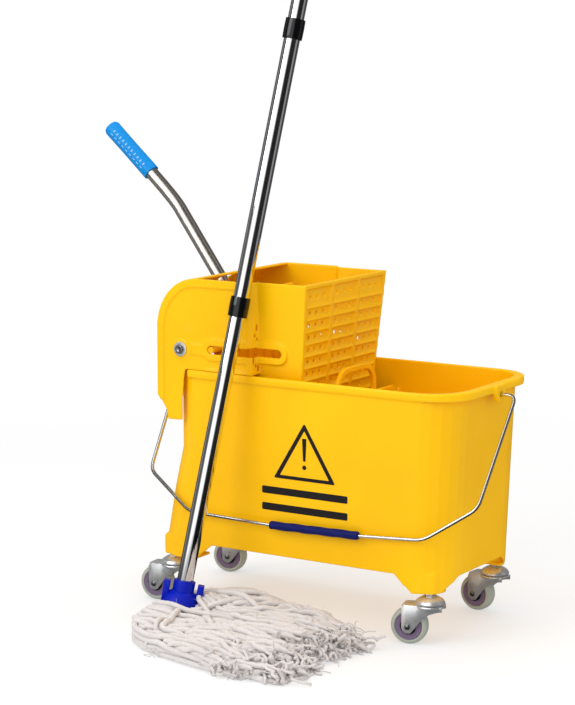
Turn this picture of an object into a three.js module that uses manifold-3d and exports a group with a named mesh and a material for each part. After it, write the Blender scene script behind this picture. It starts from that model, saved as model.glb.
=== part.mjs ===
// Mop bucket on four casters with a lever wringer, and a mop that leans on it.
// Millimetres, +Z up, +X along the bucket towards its open end, +Y away from its front face.
// The shapes are drawn about the centre of the four caster stems at floor level.  The finished
// group is shifted so that its origin is the bottom centre of the whole object's box.
import * as THREE from "three";
import { mergeVertices } from "three/addons/utils/BufferGeometryUtils.js";
import Module from "manifold-3d";

const wasm = await Module();
wasm.setup();

// ---------------------------------------------------------------- driving dimensions
const GAP = 0.3; // between pieces that touch

const SHELL = 3; // moulded wall thickness
const RIM_TOP = 340;
const RIM_LIP = 11; // height of the rim's turned-down lip
const RIM_HALF_WIDTH = 121;
const RIM_LEFT = -211;
const RIM_RIGHT = 255;
const CORNER_RADIUS = 56;
const FOOT_BOTTOM = 71;
const FLOOR_UNDER = 97;
const FLOOR_TOP = 101;
const UNDER_PAD = { left: -40, right: 80, half: 50, proud: 1 }; // flat pad under the floor
const FOOT_PLATE = 4;
const FOOT_SPANS = [[188, 245], [-240, -156]]; // the foot plates along the bucket
const FOOT_INNER_HALF = 78;
const FOOT_END_HALF = 94; // inside this a foot plate stops short of the end wall
const FOOT_END_INSET = 222;
const STEM_BOSS_RADIUS = 14;
const STEM_HOLE_TOP = 93;
const TAIL_FRONT = -166; // the rim stops here at the left corners, for the wringer's tails
const TAIL_INNER_HALF = 70;
// bucket wall: height, left end, right end, half width
const WALL_PROFILE = [
  [FOOT_BOTTOM, -232, 231, 116.5],
  [166, -214, 235, 117],
  [225, -200, 237.5, 117.2],
  [RIM_TOP, -200, 243, 117.6],
];

const STEM_X = 205.6;
const STEM_Y = 93.4;
const WHEEL_RADIUS = 25;
const WHEEL_WIDTH = 20;
const TRAIL = 27.6; // axle behind the stem
const FORK_INNER = 11.2; // half the gap between the fork's legs
const FORK_SHEET = 2.3;
const FORK_REAR = -36; // the legs' straight rear edge, behind the stem
const CROWN_LOW = 52.2; // the fork's plate over the wheel
const CROWN_TOP = 54.6;
const LEG_END_RADIUS = 8.2;
const RACE_RADIUS = 20;
const STEM_RADIUS = 4.8;
const AXLE_RADIUS = 3;
const HUB_RADIUS = 18.3;
const CASTERS = [
  { place: "front_right", x: STEM_X, y: -STEM_Y, heading: 13.6 },
  { place: "back_right", x: STEM_X, y: STEM_Y, heading: -6.4 },
  { place: "back_left", x: -STEM_X, y: STEM_Y, heading: 11.9 },
  { place: "front_left", x: -STEM_X, y: -STEM_Y, heading: 6.2 },
];

const CHEEK = 119; // wringer cheek, outer face
const WRINGER_TOP = 467;
const WRINGER_REAR = -214.4;
const WRINGER_SEAT = RIM_TOP + GAP;
const HOOD_RADIUS_X = 64.4; // elliptical rear top corner
const HOOD_RADIUS_Z = 72;
const STEP_REAR = -66; // cheek steps in here to the basket
const STEP_FRONT = -57;
const BASKET_FRONT = 20.8; // grille face at the top
const BASKET_HALF = 108.9; // basket half width at the top
const BASKET_REAR = -135;
const BASKET_BOTTOM = 225;
const GRILLE_LEAN = 0.088; // the grille recedes this much per unit down
const SIDE_LEAN = 0.069;
const GRILLE_THICK = 6;
const RIB = 3.5;
const CELL_PITCH = 16.75;
const CELL_ROWS = 11;
const TOP_CELL = 24;
const HOLED_ROWS = 8; // rows above the rim, with three drain holes to a cell
const DRAIN = 4.6; // drain hole, across
const DRAIN_SPREAD = [-0.55, 0, 0.55]; // the three holes of a cell, as shares of its half width
const ACROSS = 130; // half length of a cutting tool that goes right through the wringer
const TAIL_LOW = 260; // the wringer's rear corners hang down to here
const TAIL_HALF = 80; // half the gap between those corners, above the bail's lug
const HOOD_FRONT = -150; // the curved cover ends here
const HOOD_HALF = 116;
const HOOD_LOW = RIM_TOP + 5;
const LEVER_GAP = { left: -225, right: -166, half: 15, low: 391 }; // the lever's slot in the cover
const LEDGE = { inner: 96, thick: 3.2 }; // flanges by which the basket sits on the rim
const SUMP_DRAIN = { count: 7, pitch: 18, width: 7, half: 70, start: 16 }; // slots in the basket's floor
const CHEEK_BAND = { width: 11, low: 295, proud: 2.2 }; // raised band along a cheek's edge

const PIVOT_X = -175;
const PIVOT_Z = 368;
const SLOT_LEFT = -130;
const SLOT_RIGHT = -20;
const SLOT_Z = 370.5;
const SLOT_HEIGHT = 11.5;
const SLOT_BORDER = 9;
const SLOT_RISE = [2.5, 3.5]; // the border stands this proud of the cheek and of the basket
const LEAD_IN = { left: -159, below: 9, above: 6, proud: 1.8 }; // ramp behind each slot
const PIVOT_RADIUS = 4;
const PIVOT_BOSS_RADIUS = 13;
const PIVOT_HEAD = { radius: 6.4, end: 5.2, from: 122.2, to: 125 };
const PIVOT_SHAFT = [92, 123]; // from the wringer's middle plane
const HEX_RECESS = { radius: 2.8, from: 123.4 };
const SPRING = { radius: 8.6, wire: 0.9, turns: 2, inner: 108, length: 5.5, leg: 18 };

const HUB_INNER = 100; // yoke hubs, inner face
const HUB_OUTER = 106;
const CROSSBAR = [-143, 388];
const PUSH_TIP = [-134.8, 243];
const HUB_EYE = 13; // radius round the pivot
const BAR_EYE = 11;
const BAR_RADIUS = 9;
const PUSHERS = { inner: 66, outer: 76, tip: 6 };
const LEVER_SOCKET_RADIUS = 13.2;
const LEVER_SCREW = { radius: 2.5, head: 4.6, out: 16.2, under: 13.7 };
const LEVER_FOOT = [-150, 400.3];
const LEVER_KNEE_LOW = [-258.5, 549.9];
const LEVER_KNEE_HIGH = [-309, 599.5];
const LEVER_TIP = [-380.8, 663.6];
const TUBE_RADIUS = 9.5;
const TUBE_WALL = 1;
const LEVER_GRIP_RADIUS = 12.75;

const PLATE_BACK = -119;
const PLATE_THICK = 4;
const PLATE_LOW = 233;
const PLATE_HIGH = 444;
const PLATE_HALF = 86;
const PLATE_TAPER = { by: 4, upTo: 330 }; // narrower towards the bottom
const PLATE_CORNER = { in: 8, down: 12 };
const PLATE_RIBS = { eachSide: 3, pitch: 22, thick: 4, proud: 4 };
const BEARERS = { at: [-48, -28, 28, 48], half: 3, back: 7, height: 18 }; // they carry the guide rod
const ROD_X = -124;
const ROD_RADIUS = 4.5;

const BAFFLE_X = 34.5;
const BAFFLE_TOP = 305;
const BAFFLE_HALF = 105.5;
const BAFFLE_THICK = 3.5;
const BEAD = 1.5; // the baffle's edge bead stands this proud of it
const BEAD_HALF = 98;
const ARCH_HALF = 53;
const ARCH_TOP = 347;
const ARCH_BAND = 8;
const ARCH_CORNER = 30;
const GUIDE_RIB = 2; // thickness of the ribs that hold the baffle
const GUIDE_OFFSETS = [-4.6, 2.6];
const GUIDE_TOP = 298;

const BAIL_PIVOT_Z = 327;
const BAIL_ANGLE = THREE.MathUtils.degToRad(34.2); // the bail's plane from the vertical at rest
const BAIL_WIRE = 2.5; // radius
const BAIL_LUG_RADIUS = 13;
const RIGHT_LUG = [251.5, 259];
const LEFT_LUG = [-240, -233];
const BAIL_GRIP_RADIUS = 6;
// the bail in its own plane: along the bucket, distance from the pivot line
const BAIL_PATH = [
  [246, 0],
  [280, 0],
  [273, 164],
  [209, 217],
  [115, 223.5],
  [-24, 226.3],
  [-158, 223.5],
  [-245, 170],
  [-257, 0],
  [-226, 0],
];
const BAIL_GRIP_ENDS = [BAIL_PATH[4], BAIL_PATH[5]];

const SOCKET_MOUTH = new THREE.Vector3(-110.5, -205, 68);
const POLE_LEAN_POINT = new THREE.Vector3(-61.5, -133, 468.5);
const POLE_RADIUS = 11;
const SECTION = 377; // from coupler to coupler
const POLE_IN_SOCKET = 24;
const COLLAR_RADIUS = 14.5;
const SKIRT_RADIUS = 32;
const SKIRT_END = -53;
const WING_SPAN = [18.6, 27.4]; // from the handle's axis
const WING_WIDTH = 16;
const WING_HEIGHT = 30;
const WING_TOP = -3;
const WING_HEADING = THREE.MathUtils.degToRad(32);
const COUPLER_RADIUS = 13.6;
const COUPLER_LENGTH = 27;
const CAP_LENGTH = 30;
const CAP_LOW = -18;
const CAP_RADIUS = 13;
const CAP_NECK = 6;
const HANGING_HOLE = { radius: 2.6, belowTop: 9 };
const YARN_HEIGHT = 50;
const YARN_MIDDLE = [-40, -232];
// height of a level of the heap, and its outline there as a share of the footprint
const YARN_LEVELS = [[0, 0.96], [10, 1], [22, 0.95], [32, 0.82], [42, 0.62], [YARN_HEIGHT, 0.36]];
// the socket's room in the yarn: radius, and distance along the handle's axis
const YARN_ROOM = [[0, 8], [30, 8], [30, -36], [34, -54.5], [0, -54.5]];
// footprint of the yarn on the floor, anticlockwise from its right-hand tip
const YARN_OUTLINE = [
  [187, -196],
  [146, -152],
  [90, -124],
  [10, -112],
  [-70, -114],
  [-140, -152],
  [-177, -208],
  [-152, -276],
  [-92, -336],
  [11, -388],
  [110, -368],
  [170, -305],
];

// ---------------------------------------------------------------- materials
const finish = (color, roughness, metalness = 0) =>
  new THREE.MeshStandardMaterial({ color, roughness, metalness });
const yellow = finish(0xffc400, 0.38);
const orangeYellow = finish(0xf7b200, 0.45);
const chrome = finish(0xd8dadd, 0.08, 1);
const zinc = finish(0xb9bcc0, 0.32, 1);
const steel = finish(0x9fa3a8, 0.3, 1);
const springSteel = finish(0x6f7378, 0.35, 1);
const blackPlastic = finish(0x0d0d0f, 0.2);
const brightBlue = finish(0x0a7ae0, 0.45);
const navy = finish(0x1c2478, 0.4);
const royalBlue = finish(0x0a2fc0, 0.42);
const tyreGrey = finish(0xa6afa2, 0.6);
const hubMauve = finish(0x7d6b86, 0.45);
const cotton = finish(0xe9e6e0, 0.95);

// ---------------------------------------------------------------- solids
function toSolid(geometry) {
  const bare = geometry.index ? geometry.toNonIndexed() : geometry.clone();
  bare.deleteAttribute("normal");
  bare.deleteAttribute("uv");
  const merged = mergeVertices(bare, 1e-4);
  const triVerts = [];
  for (let i = 0; i < merged.index.count; i += 3) {
    const [a, b, c] = [0, 1, 2].map((corner) => merged.index.getX(i + corner));
    if (a !== b && b !== c && c !== a) triVerts.push(a, b, c);
  }
  return new wasm.Manifold(
    new wasm.Mesh({
      numProp: 3,
      vertProperties: new Float32Array(merged.attributes.position.array),
      triVerts: new Uint32Array(triVerts),
    }),
  );
}

function toGeometry(solid) {
  const mesh = solid.getMesh();
  const geometry = new THREE.BufferGeometry();
  geometry.setAttribute("position", new THREE.BufferAttribute(new Float32Array(mesh.vertProperties), 3));
  geometry.setIndex(new THREE.BufferAttribute(new Uint32Array(mesh.triVerts), 1));
  geometry.computeVertexNormals();
  return geometry;
}

const union = (...solids) => solids.reduce((whole, piece) => whole.add(piece));
const cut = (solid, ...tools) => tools.reduce((rest, tool) => rest.subtract(tool), solid);

function box(x0, x1, y0, y1, z0, z1) {
  const geometry = new THREE.BoxGeometry(x1 - x0, y1 - y0, z1 - z0);
  geometry.translate((x0 + x1) / 2, (y0 + y1) / 2, (z0 + z1) / 2);
  return toSolid(geometry);
}

// an outline swept straight along one axis: (x, y) along z, (x, z) along y or (y, z) along x
function prism(outline, axis, from, to) {
  const shape = new THREE.Shape(outline.map(([a, b]) => new THREE.Vector2(a, b)));
  const geometry = new THREE.ExtrudeGeometry(shape, { depth: to - from, bevelEnabled: false });
  geometry.translate(0, 0, from);
  const turn = new THREE.Matrix4();
  if (axis === "y") {
    geometry.scale(1, 1, -1);
    geometry.rotateX(Math.PI / 2);
    return toSolid(flipped(geometry));
  }
  if (axis === "x") {
    turn.set(0, 0, 1, 0, 1, 0, 0, 0, 0, 1, 0, 0, 0, 0, 0, 1);
    geometry.applyMatrix4(turn);
  }
  return toSolid(geometry);
}

// the same surface with its faces turned over, for a shape that was mirrored
function flipped(geometry) {
  const plain = geometry.index ? geometry.toNonIndexed() : geometry;
  const place = plain.attributes.position;
  for (let i = 0; i < place.count; i += 3) {
    const keep = [place.getX(i), place.getY(i), place.getZ(i)];
    place.setXYZ(i, place.getX(i + 1), place.getY(i + 1), place.getZ(i + 1));
    place.setXYZ(i + 1, ...keep);
  }
  return plain;
}

// a straight round bar, or a cone, between two points
function rod(from, to, radius, sides = 16, endRadius = radius) {
  const a = new THREE.Vector3(...from);
  const b = new THREE.Vector3(...to);
  const geometry = new THREE.CylinderGeometry(endRadius, radius, a.distanceTo(b), sides);
  const along = b.clone().sub(a).normalize();
  geometry.applyQuaternion(new THREE.Quaternion().setFromUnitVectors(new THREE.Vector3(0, 1, 0), along));
  geometry.translate((a.x + b.x) / 2, (a.y + b.y) / 2, (a.z + b.z) / 2);
  return toSolid(geometry);
}

// a turned shape about +Z: [radius, height] points that end on the axis or are closed here
function turned(profile, sides) {
  const closed = profile[0][0] > 0 ? [...profile, profile[0]] : profile;
  const points = closed.map(([r, h]) => new THREE.Vector2(r, h));
  const geometry = new THREE.LatheGeometry(points, sides);
  geometry.rotateX(Math.PI / 2);
  const solid = toSolid(geometry);
  return solid.volume() < 0 ? toSolid(flipped(geometry)) : solid;
}

// a skin through a stack of outlines with equal point counts, closed at both ends
function loft(rings) {
  const count = rings[0].outline.length;
  const position = [];
  for (const { outline, z } of rings) {
    for (const [x, y] of outline) position.push(x, y, z);
  }
  const index = [];
  for (let level = 0; level < rings.length - 1; level += 1) {
    for (let i = 0; i < count; i += 1) {
      const a = level * count + i;
      const b = level * count + ((i + 1) % count);
      index.push(a, b, b + count, a, b + count, a + count);
    }
  }
  const cap = (level, up) => {
    const flat = rings[level].outline.map(([x, y]) => new THREE.Vector2(x, y));
    for (const [a, b, c] of THREE.ShapeUtils.triangulateShape(flat, [])) {
      const [i, j, k] = [a, b, c].map((n) => n + level * count);
      index.push(...(up ? [i, j, k] : [i, k, j]));
    }
  };
  cap(0, false);
  cap(rings.length - 1, true);
  const geometry = new THREE.BufferGeometry();
  geometry.setAttribute("position", new THREE.Float32BufferAttribute(position, 3));
  geometry.setIndex(index);
  return toSolid(geometry);
}

// a round wire or tube along points, with straight runs between them kept nearly straight
function tube(points, radius, sides, steps) {
  const path = new THREE.CatmullRomCurve3(points, false, "centripetal");
  const section = new THREE.Shape();
  section.absarc(0, 0, radius, 0, 2 * Math.PI);
  const geometry = new THREE.ExtrudeGeometry(section, {
    steps,
    curveSegments: sides / 2, // a full circle gets twice this many
    extrudePath: path,
    bevelEnabled: false,
  });
  return toSolid(geometry);
}

// two round ends joined by their common tangents, as an (x, z) outline
function link([ax, az], aRadius, [bx, bz], bRadius, steps = 8) {
  const towards = Math.atan2(bz - az, bx - ax);
  const spread = Math.acos((aRadius - bRadius) / Math.hypot(bx - ax, bz - az));
  const outline = [];
  for (let i = 0; i <= steps; i += 1) {
    const angle = towards - spread + (2 * spread * i) / steps;
    outline.push([bx + bRadius * Math.cos(angle), bz + bRadius * Math.sin(angle)]);
  }
  for (let i = 0; i <= steps; i += 1) {
    const angle = towards + spread + ((2 * Math.PI - 2 * spread) * i) / steps;
    outline.push([ax + aRadius * Math.cos(angle), az + aRadius * Math.sin(angle)]);
  }
  return outline;
}

function roundedRectangle(left, right, half, radius, steps = 6) {
  const centres = [
    [right - radius, half - radius],
    [left + radius, half - radius],
    [left + radius, -half + radius],
    [right - radius, -half + radius],
  ];
  return centres.flatMap(([x, y], corner) =>
    Array.from({ length: steps + 1 }, (_, i) => {
      const angle = ((corner + i / steps) * Math.PI) / 2;
      return [x + radius * Math.cos(angle), y + radius * Math.sin(angle)];
    }),
  );
}

// rounds the corners of a path of points in space with arcs of short chords
function softened(points, radius, steps = 4) {
  const soft = [points[0]];
  for (let i = 1; i < points.length - 1; i += 1) {
    const back = points[i - 1].clone().sub(points[i]);
    const ahead = points[i + 1].clone().sub(points[i]);
    const reach = Math.min(radius, back.length() / 2.2, ahead.length() / 2.2);
    const from = points[i].clone().addScaledVector(back.normalize(), reach);
    const to = points[i].clone().addScaledVector(ahead.normalize(), reach);
    const corner = new THREE.QuadraticBezierCurve3(from, points[i], to);
    soft.push(...corner.getPoints(steps));
  }
  soft.push(points[points.length - 1]);
  return soft;
}

// ---------------------------------------------------------------- bucket
function wallAt(z) {
  const above = WALL_PROFILE.findIndex((row) => row[0] >= z);
  const top = WALL_PROFILE[above < 0 ? WALL_PROFILE.length - 1 : Math.max(above, 1)];
  const low = WALL_PROFILE[WALL_PROFILE.indexOf(top) - 1];
  const t = (z - low[0]) / (top[0] - low[0]);
  return [1, 2, 3].map((i) => THREE.MathUtils.lerp(low[i], top[i], t));
}

function wallRing(z, inset) {
  const [left, right, half] = wallAt(z);
  return { z, outline: roundedRectangle(left + inset, right - inset, half - inset, CORNER_RADIUS - inset) };
}

function rimRing(z, inset) {
  const left = RIM_LEFT + inset;
  const right = RIM_RIGHT - inset;
  const radius = CORNER_RADIUS + 4 - inset;
  return { z, outline: roundedRectangle(left, right, RIM_HALF_WIDTH - inset, radius) };
}

function bucketRim() {
  const lipBottom = RIM_TOP - RIM_LIP;
  const band = loft([rimRing(lipBottom, 0), rimRing(RIM_TOP, 0)]);
  const underside = loft([rimRing(lipBottom - 1, SHELL), rimRing(RIM_TOP - SHELL, SHELL)]);
  const mouth = loft([wallRing(lipBottom - 2, SHELL - 1), wallRing(RIM_TOP + 1, SHELL - 1)]);
  const flange = cut(loft([rimRing(RIM_TOP - SHELL, 0), rimRing(RIM_TOP, 0)]), mouth);
  // the rim stops short of the wringer's tails at the two left corners
  const tails = [-1, 1].map((side) => {
    const [y0, y1] = side < 0 ? [-125, -TAIL_INNER_HALF] : [TAIL_INNER_HALF, 125];
    return box(-240, TAIL_FRONT, y0, y1, lipBottom - 2, RIM_TOP + 2);
  });
  return cut(cut(band, underside, mouth).add(flange), ...tails);
}

function bucketFeet(outside) {
  const top = FOOT_BOTTOM + FOOT_PLATE;
  const corners = [];
  for (const [x0, x1] of FOOT_SPANS) {
    const [in0, in1] = [Math.max(x0, -FOOT_END_INSET), Math.min(x1, FOOT_END_INSET)];
    for (const side of [-1, 1]) {
      const [inner, mid, outer] = [FOOT_INNER_HALF, FOOT_END_HALF, 125].map((y) => side * y);
      corners.push(box(x0, x1, Math.min(mid, outer), Math.max(mid, outer), FOOT_BOTTOM, top));
      corners.push(box(in0, in1, Math.min(inner, mid), Math.max(inner, mid), FOOT_BOTTOM, top));
    }
  }
  const plates = union(...corners).intersect(outside);
  const bosses = CASTERS.map(({ x, y }) =>
    rod([x, y, FOOT_BOTTOM], [x, y, FLOOR_UNDER + 1], STEM_BOSS_RADIUS, 20),
  );
  return union(plates, ...bosses);
}

// legs stand at the corners: the skirt is cut away between them
function skirtArches() {
  const low = FOOT_BOTTOM - 3;
  const toe = FOOT_BOTTOM + 0.4;
  const longSide = [[-157, low], [-147, 79], [-127, 95], [162, 95], [188, toe], [190, low]];
  const endSide = [[-97, low], [-95, toe], [-60, 90], [60, 90], [95, toe], [97, low]];
  return [prism(longSide, "y", -130, 130), prism(endSide, "x", -245, 245)];
}

function bailLug([x0, x1]) {
  const r = BAIL_LUG_RADIUS;
  const outline = [[-r, RIM_TOP]];
  for (let i = 0; i <= 8; i += 1) {
    const angle = Math.PI + (Math.PI * i) / 8;
    outline.push([r * Math.cos(angle), BAIL_PIVOT_Z + 2 + r * Math.sin(angle)]);
  }
  outline.push([r, RIM_TOP]);
  const eye = rod([x0 - 1, 0, BAIL_PIVOT_Z], [x1 + 1, 0, BAIL_PIVOT_Z], BAIL_WIRE + 0.8, 16);
  return { plate: prism(outline, "x", x0, x1), eye };
}

function baffleGuides() {
  const ribs = [];
  for (const side of [-1, 1]) {
    for (const offset of GUIDE_OFFSETS) {
      const [y0, y1] = side < 0 ? [-116, -102] : [102, 116];
      const x = BAFFLE_X + offset;
      ribs.push(box(x, x + GUIDE_RIB, y0, y1, FLOOR_UNDER, GUIDE_TOP));
    }
  }
  return union(...ribs);
}

function bucketBody() {
  const levels = WALL_PROFILE.map((row) => row[0]);
  const outside = loft(levels.map((z) => wallRing(z, 0)));
  const inside = loft([FLOOR_TOP, ...levels.slice(1, 3), RIM_TOP + 1].map((z) => wallRing(z, SHELL)));
  const below = loft([FOOT_BOTTOM - 1, FLOOR_UNDER].map((z) => wallRing(z, SHELL)));
  const shell = cut(outside, inside, below, ...skirtArches());
  const rightLug = bailLug(RIGHT_LUG);
  const leftLug = bailLug(LEFT_LUG);
  const leftShelf = box(-236, -207, -BAIL_LUG_RADIUS, BAIL_LUG_RADIUS, RIM_TOP - 5, RIM_TOP);
  const { left, right, half, proud } = UNDER_PAD;
  const underPad = box(left, right, -half, half, FLOOR_UNDER - proud, FLOOR_UNDER + 1);
  const body = union(
    shell,
    bucketRim(),
    bucketFeet(outside),
    baffleGuides(),
    rightLug.plate,
    leftLug.plate,
    leftShelf,
    underPad,
  );
  const holeRadius = STEM_RADIUS + GAP;
  const stemHoles = CASTERS.map(({ x, y }) =>
    rod([x, y, FOOT_BOTTOM - 1], [x, y, STEM_HOLE_TOP], holeRadius, 16),
  );
  return cut(body, rightLug.eye, leftLug.eye, ...stemHoles);
}

// ---------------------------------------------------------------- dirt baffle
function archOutline(half, top, radius) {
  const outline = [[-half, BAFFLE_TOP - 4]];
  for (let i = 0; i <= 6; i += 1) {
    const angle = Math.PI - (Math.PI / 2) * (i / 6);
    outline.push([-half + radius + radius * Math.cos(angle), top - radius + radius * Math.sin(angle)]);
  }
  for (let i = 0; i <= 6; i += 1) {
    const angle = (Math.PI / 2) * (1 - i / 6);
    outline.push([half - radius + radius * Math.cos(angle), top - radius + radius * Math.sin(angle)]);
  }
  outline.push([half, BAFFLE_TOP - 4]);
  return outline;
}

function baffle() {
  const x0 = BAFFLE_X - BAFFLE_THICK / 2;
  const x1 = x0 + BAFFLE_THICK;
  const plate = box(x0, x1, -BAFFLE_HALF, BAFFLE_HALF, FLOOR_TOP + GAP, BAFFLE_TOP);
  const bead = box(x0 - BEAD, x1 + BEAD, -BEAD_HALF, BEAD_HALF, BAFFLE_TOP - 6, BAFFLE_TOP);
  const arch = prism(archOutline(ARCH_HALF, ARCH_TOP, ARCH_CORNER), "x", x0 - BEAD, x1 + BEAD);
  const opening = archOutline(ARCH_HALF - ARCH_BAND, ARCH_TOP - ARCH_BAND, ARCH_CORNER - ARCH_BAND);
  opening[0][1] = BAFFLE_TOP + 0.01;
  opening[opening.length - 1][1] = BAFFLE_TOP + 0.01;
  return cut(union(plate, bead, arch), prism(opening, "x", x0 - 10, x1 + 10));
}

// ---------------------------------------------------------------- wringer
const grilleAt = (z) => BASKET_FRONT - GRILLE_LEAN * (WRINGER_TOP - z);
const basketHalfAt = (z) => BASKET_HALF - SIDE_LEAN * (WRINGER_TOP - z);

// plan of the whole wringer above the rim: the basket in front, the wider cheeks behind it
function wringerRing(z, inset, front = inset) {
  const face = grilleAt(z) - front;
  const half = basketHalfAt(z) - inset;
  const cheek = CHEEK - inset;
  const rear = WRINGER_REAR + inset;
  const farSide = [
    [face, half],
    [STEP_FRONT, half],
    [STEP_REAR, cheek],
    [rear + 6, cheek],
    [rear, cheek - 6],
  ];
  const nearSide = farSide.map(([x, y]) => [x, -y]).reverse();
  return { z, outline: [...farSide, ...nearSide] };
}

function basketRing(z, inset, rear, front = inset) {
  const face = grilleAt(z) - front;
  const half = basketHalfAt(z) - inset;
  return { z, outline: [[face, half], [rear, half], [rear, -half], [face, -half]] };
}

// side view of the cheek: rounded rear top, a tail that hooks down behind the bucket
function cheekOutline(inset) {
  const rear = WRINGER_REAR + inset;
  const centreX = WRINGER_REAR + HOOD_RADIUS_X;
  const centreZ = WRINGER_TOP - HOOD_RADIUS_Z;
  const outline = [[BASKET_FRONT + 5, WRINGER_TOP - inset]];
  for (let i = 0; i <= 10; i += 1) {
    const angle = Math.PI / 2 + (Math.PI / 2) * (i / 10);
    outline.push([
      centreX + (HOOD_RADIUS_X - inset) * Math.cos(angle),
      centreZ + (HOOD_RADIUS_Z - inset) * Math.sin(angle),
    ]);
  }
  outline.push([rear, 302]);
  return outline;
}

function cheekSilhouette() {
  const tail = [
    [-200, 280],
    [-198, 267.5],
    [-173.5, 268],
    [-173.5, 300],
    [-170.5, 331],
    [-168, WRINGER_SEAT],
  ];
  return [...cheekOutline(0), ...tail, [BASKET_FRONT + 5, WRINGER_SEAT]];
}

function wringerWalls() {
  const levels = [TAIL_LOW, WRINGER_TOP + 2];
  const outside = loft(levels.map((z) => wringerRing(z, 0)));
  const inside = loft([levels[0] - 1, levels[1] + 1].map((z) => wringerRing(z, SHELL, GRILLE_THICK)));
  const walls = cut(outside, inside).intersect(prism(cheekSilhouette(), "y", -ACROSS, ACROSS));
  // between the tails the rear apron stops above the bail's lug
  const apronGap = box(WRINGER_REAR - 6, HOOD_FRONT, -TAIL_HALF, TAIL_HALF, TAIL_LOW - 10, HOOD_LOW);
  return cut(walls, apronGap);
}

// curved cover over the linkage, with a slot for the lever
function wringerHood() {
  const past = HOOD_HALF + 1;
  const outside = prism([...cheekOutline(0), [BASKET_FRONT + 5, 302]], "y", -HOOD_HALF, HOOD_HALF);
  const inside = prism([...cheekOutline(SHELL), [BASKET_FRONT + 9, 301]], "y", -past, past);
  const skin = cut(outside, inside);
  return skin.intersect(box(WRINGER_REAR - 6, HOOD_FRONT, -past, past, HOOD_LOW, WRINGER_TOP + 1));
}

function wringerBasket() {
  const top = WRINGER_SEAT + 4;
  const outside = loft([BASKET_BOTTOM, top].map((z) => basketRing(z, 0, BASKET_REAR)));
  const inside = loft(
    [BASKET_BOTTOM + 4, top + 1].map((z) => basketRing(z, SHELL, BASKET_REAR - 1, GRILLE_THICK)),
  );
  const ledges = [-1, 1].map((side) => {
    const [y0, y1] = side < 0 ? [-RIM_HALF_WIDTH, -LEDGE.inner] : [LEDGE.inner, RIM_HALF_WIDTH];
    return box(BASKET_REAR, STEP_FRONT, y0, y1, WRINGER_SEAT, WRINGER_SEAT + LEDGE.thick);
  });
  const { count, pitch, width, half, start } = SUMP_DRAIN;
  const drains = Array.from({ length: count }, (_, i) => {
    const x = BASKET_REAR + start + pitch * i;
    return box(x, x + width, -half, half, BASKET_BOTTOM - 1, BASKET_BOTTOM + 5);
  });
  return cut(union(cut(outside, inside), ...ledges), ...drains);
}

// raised band along the top and rear of each cheek
function cheekBorder(side) {
  const { width, low, proud } = CHEEK_BAND;
  const keep = side < 0 ? [-CHEEK - proud, -CHEEK + 0.5] : [CHEEK - 0.5, CHEEK + proud];
  const outer = prism(cheekSilhouette(), "y", ...keep);
  const foot = [[-203, TAIL_LOW - 10], [BASKET_FRONT + 9, TAIL_LOW - 10]];
  const inner = prism([...cheekOutline(width), ...foot], "y", -ACROSS, ACROSS);
  return cut(outer, inner).intersect(box(WRINGER_REAR - 6, STEP_REAR, -ACROSS, ACROSS, low, WRINGER_TOP));
}

function slotOutline(border) {
  const radius = SLOT_HEIGHT / 2;
  return link([SLOT_LEFT + radius, SLOT_Z], radius + border, [SLOT_RIGHT - radius, SLOT_Z], radius + border);
}

// raised rim round each guide slot; its depth follows the cheek, which steps in at the basket
function slotBorder(side) {
  const at = (outer, depth) => (side < 0 ? [-outer - depth, -outer + 1] : [outer - 1, outer + depth]);
  const rear = prism(slotOutline(SLOT_BORDER), "y", ...at(CHEEK, SLOT_RISE[0]));
  const front = prism(slotOutline(SLOT_BORDER), "y", ...at(basketHalfAt(SLOT_Z), SLOT_RISE[1]));
  const [z0, z1] = [SLOT_Z - 20, SLOT_Z + 20];
  return union(
    rear.intersect(box(SLOT_LEFT - 30, STEP_REAR, -ACROSS, ACROSS, z0, z1)),
    front.intersect(box(STEP_REAR + 4, SLOT_RIGHT + 30, -ACROSS, ACROSS, z0, z1)),
  );
}

// pockets and drain holes of the grille: three columns, rows at one pitch under a taller top row
function grillePockets() {
  const tools = [];
  let high = WRINGER_TOP - 6;
  for (let row = 0; row < CELL_ROWS; row += 1) {
    const low = row === 0 ? high - TOP_CELL : high - CELL_PITCH + RIB;
    const middle = (high + low) / 2;
    const face = grilleAt(middle);
    const column = (2 * basketHalfAt(middle) - 6) / 3;
    for (let i = -1; i <= 1; i += 1) {
      const half = column / 2 - RIB;
      tools.push(box(face - RIB, face + 6, i * column - half, i * column + half, low, high));
      for (const across of row < HOLED_ROWS ? DRAIN_SPREAD : [0]) {
        const y = i * column + across * half;
        const [y0, z0] = [y - DRAIN / 2, middle - DRAIN / 2];
        tools.push(box(face - 12, face + 2, y0, y0 + DRAIN, z0, z0 + DRAIN));
      }
    }
    high = low - RIB;
  }
  return union(...tools);
}

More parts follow.
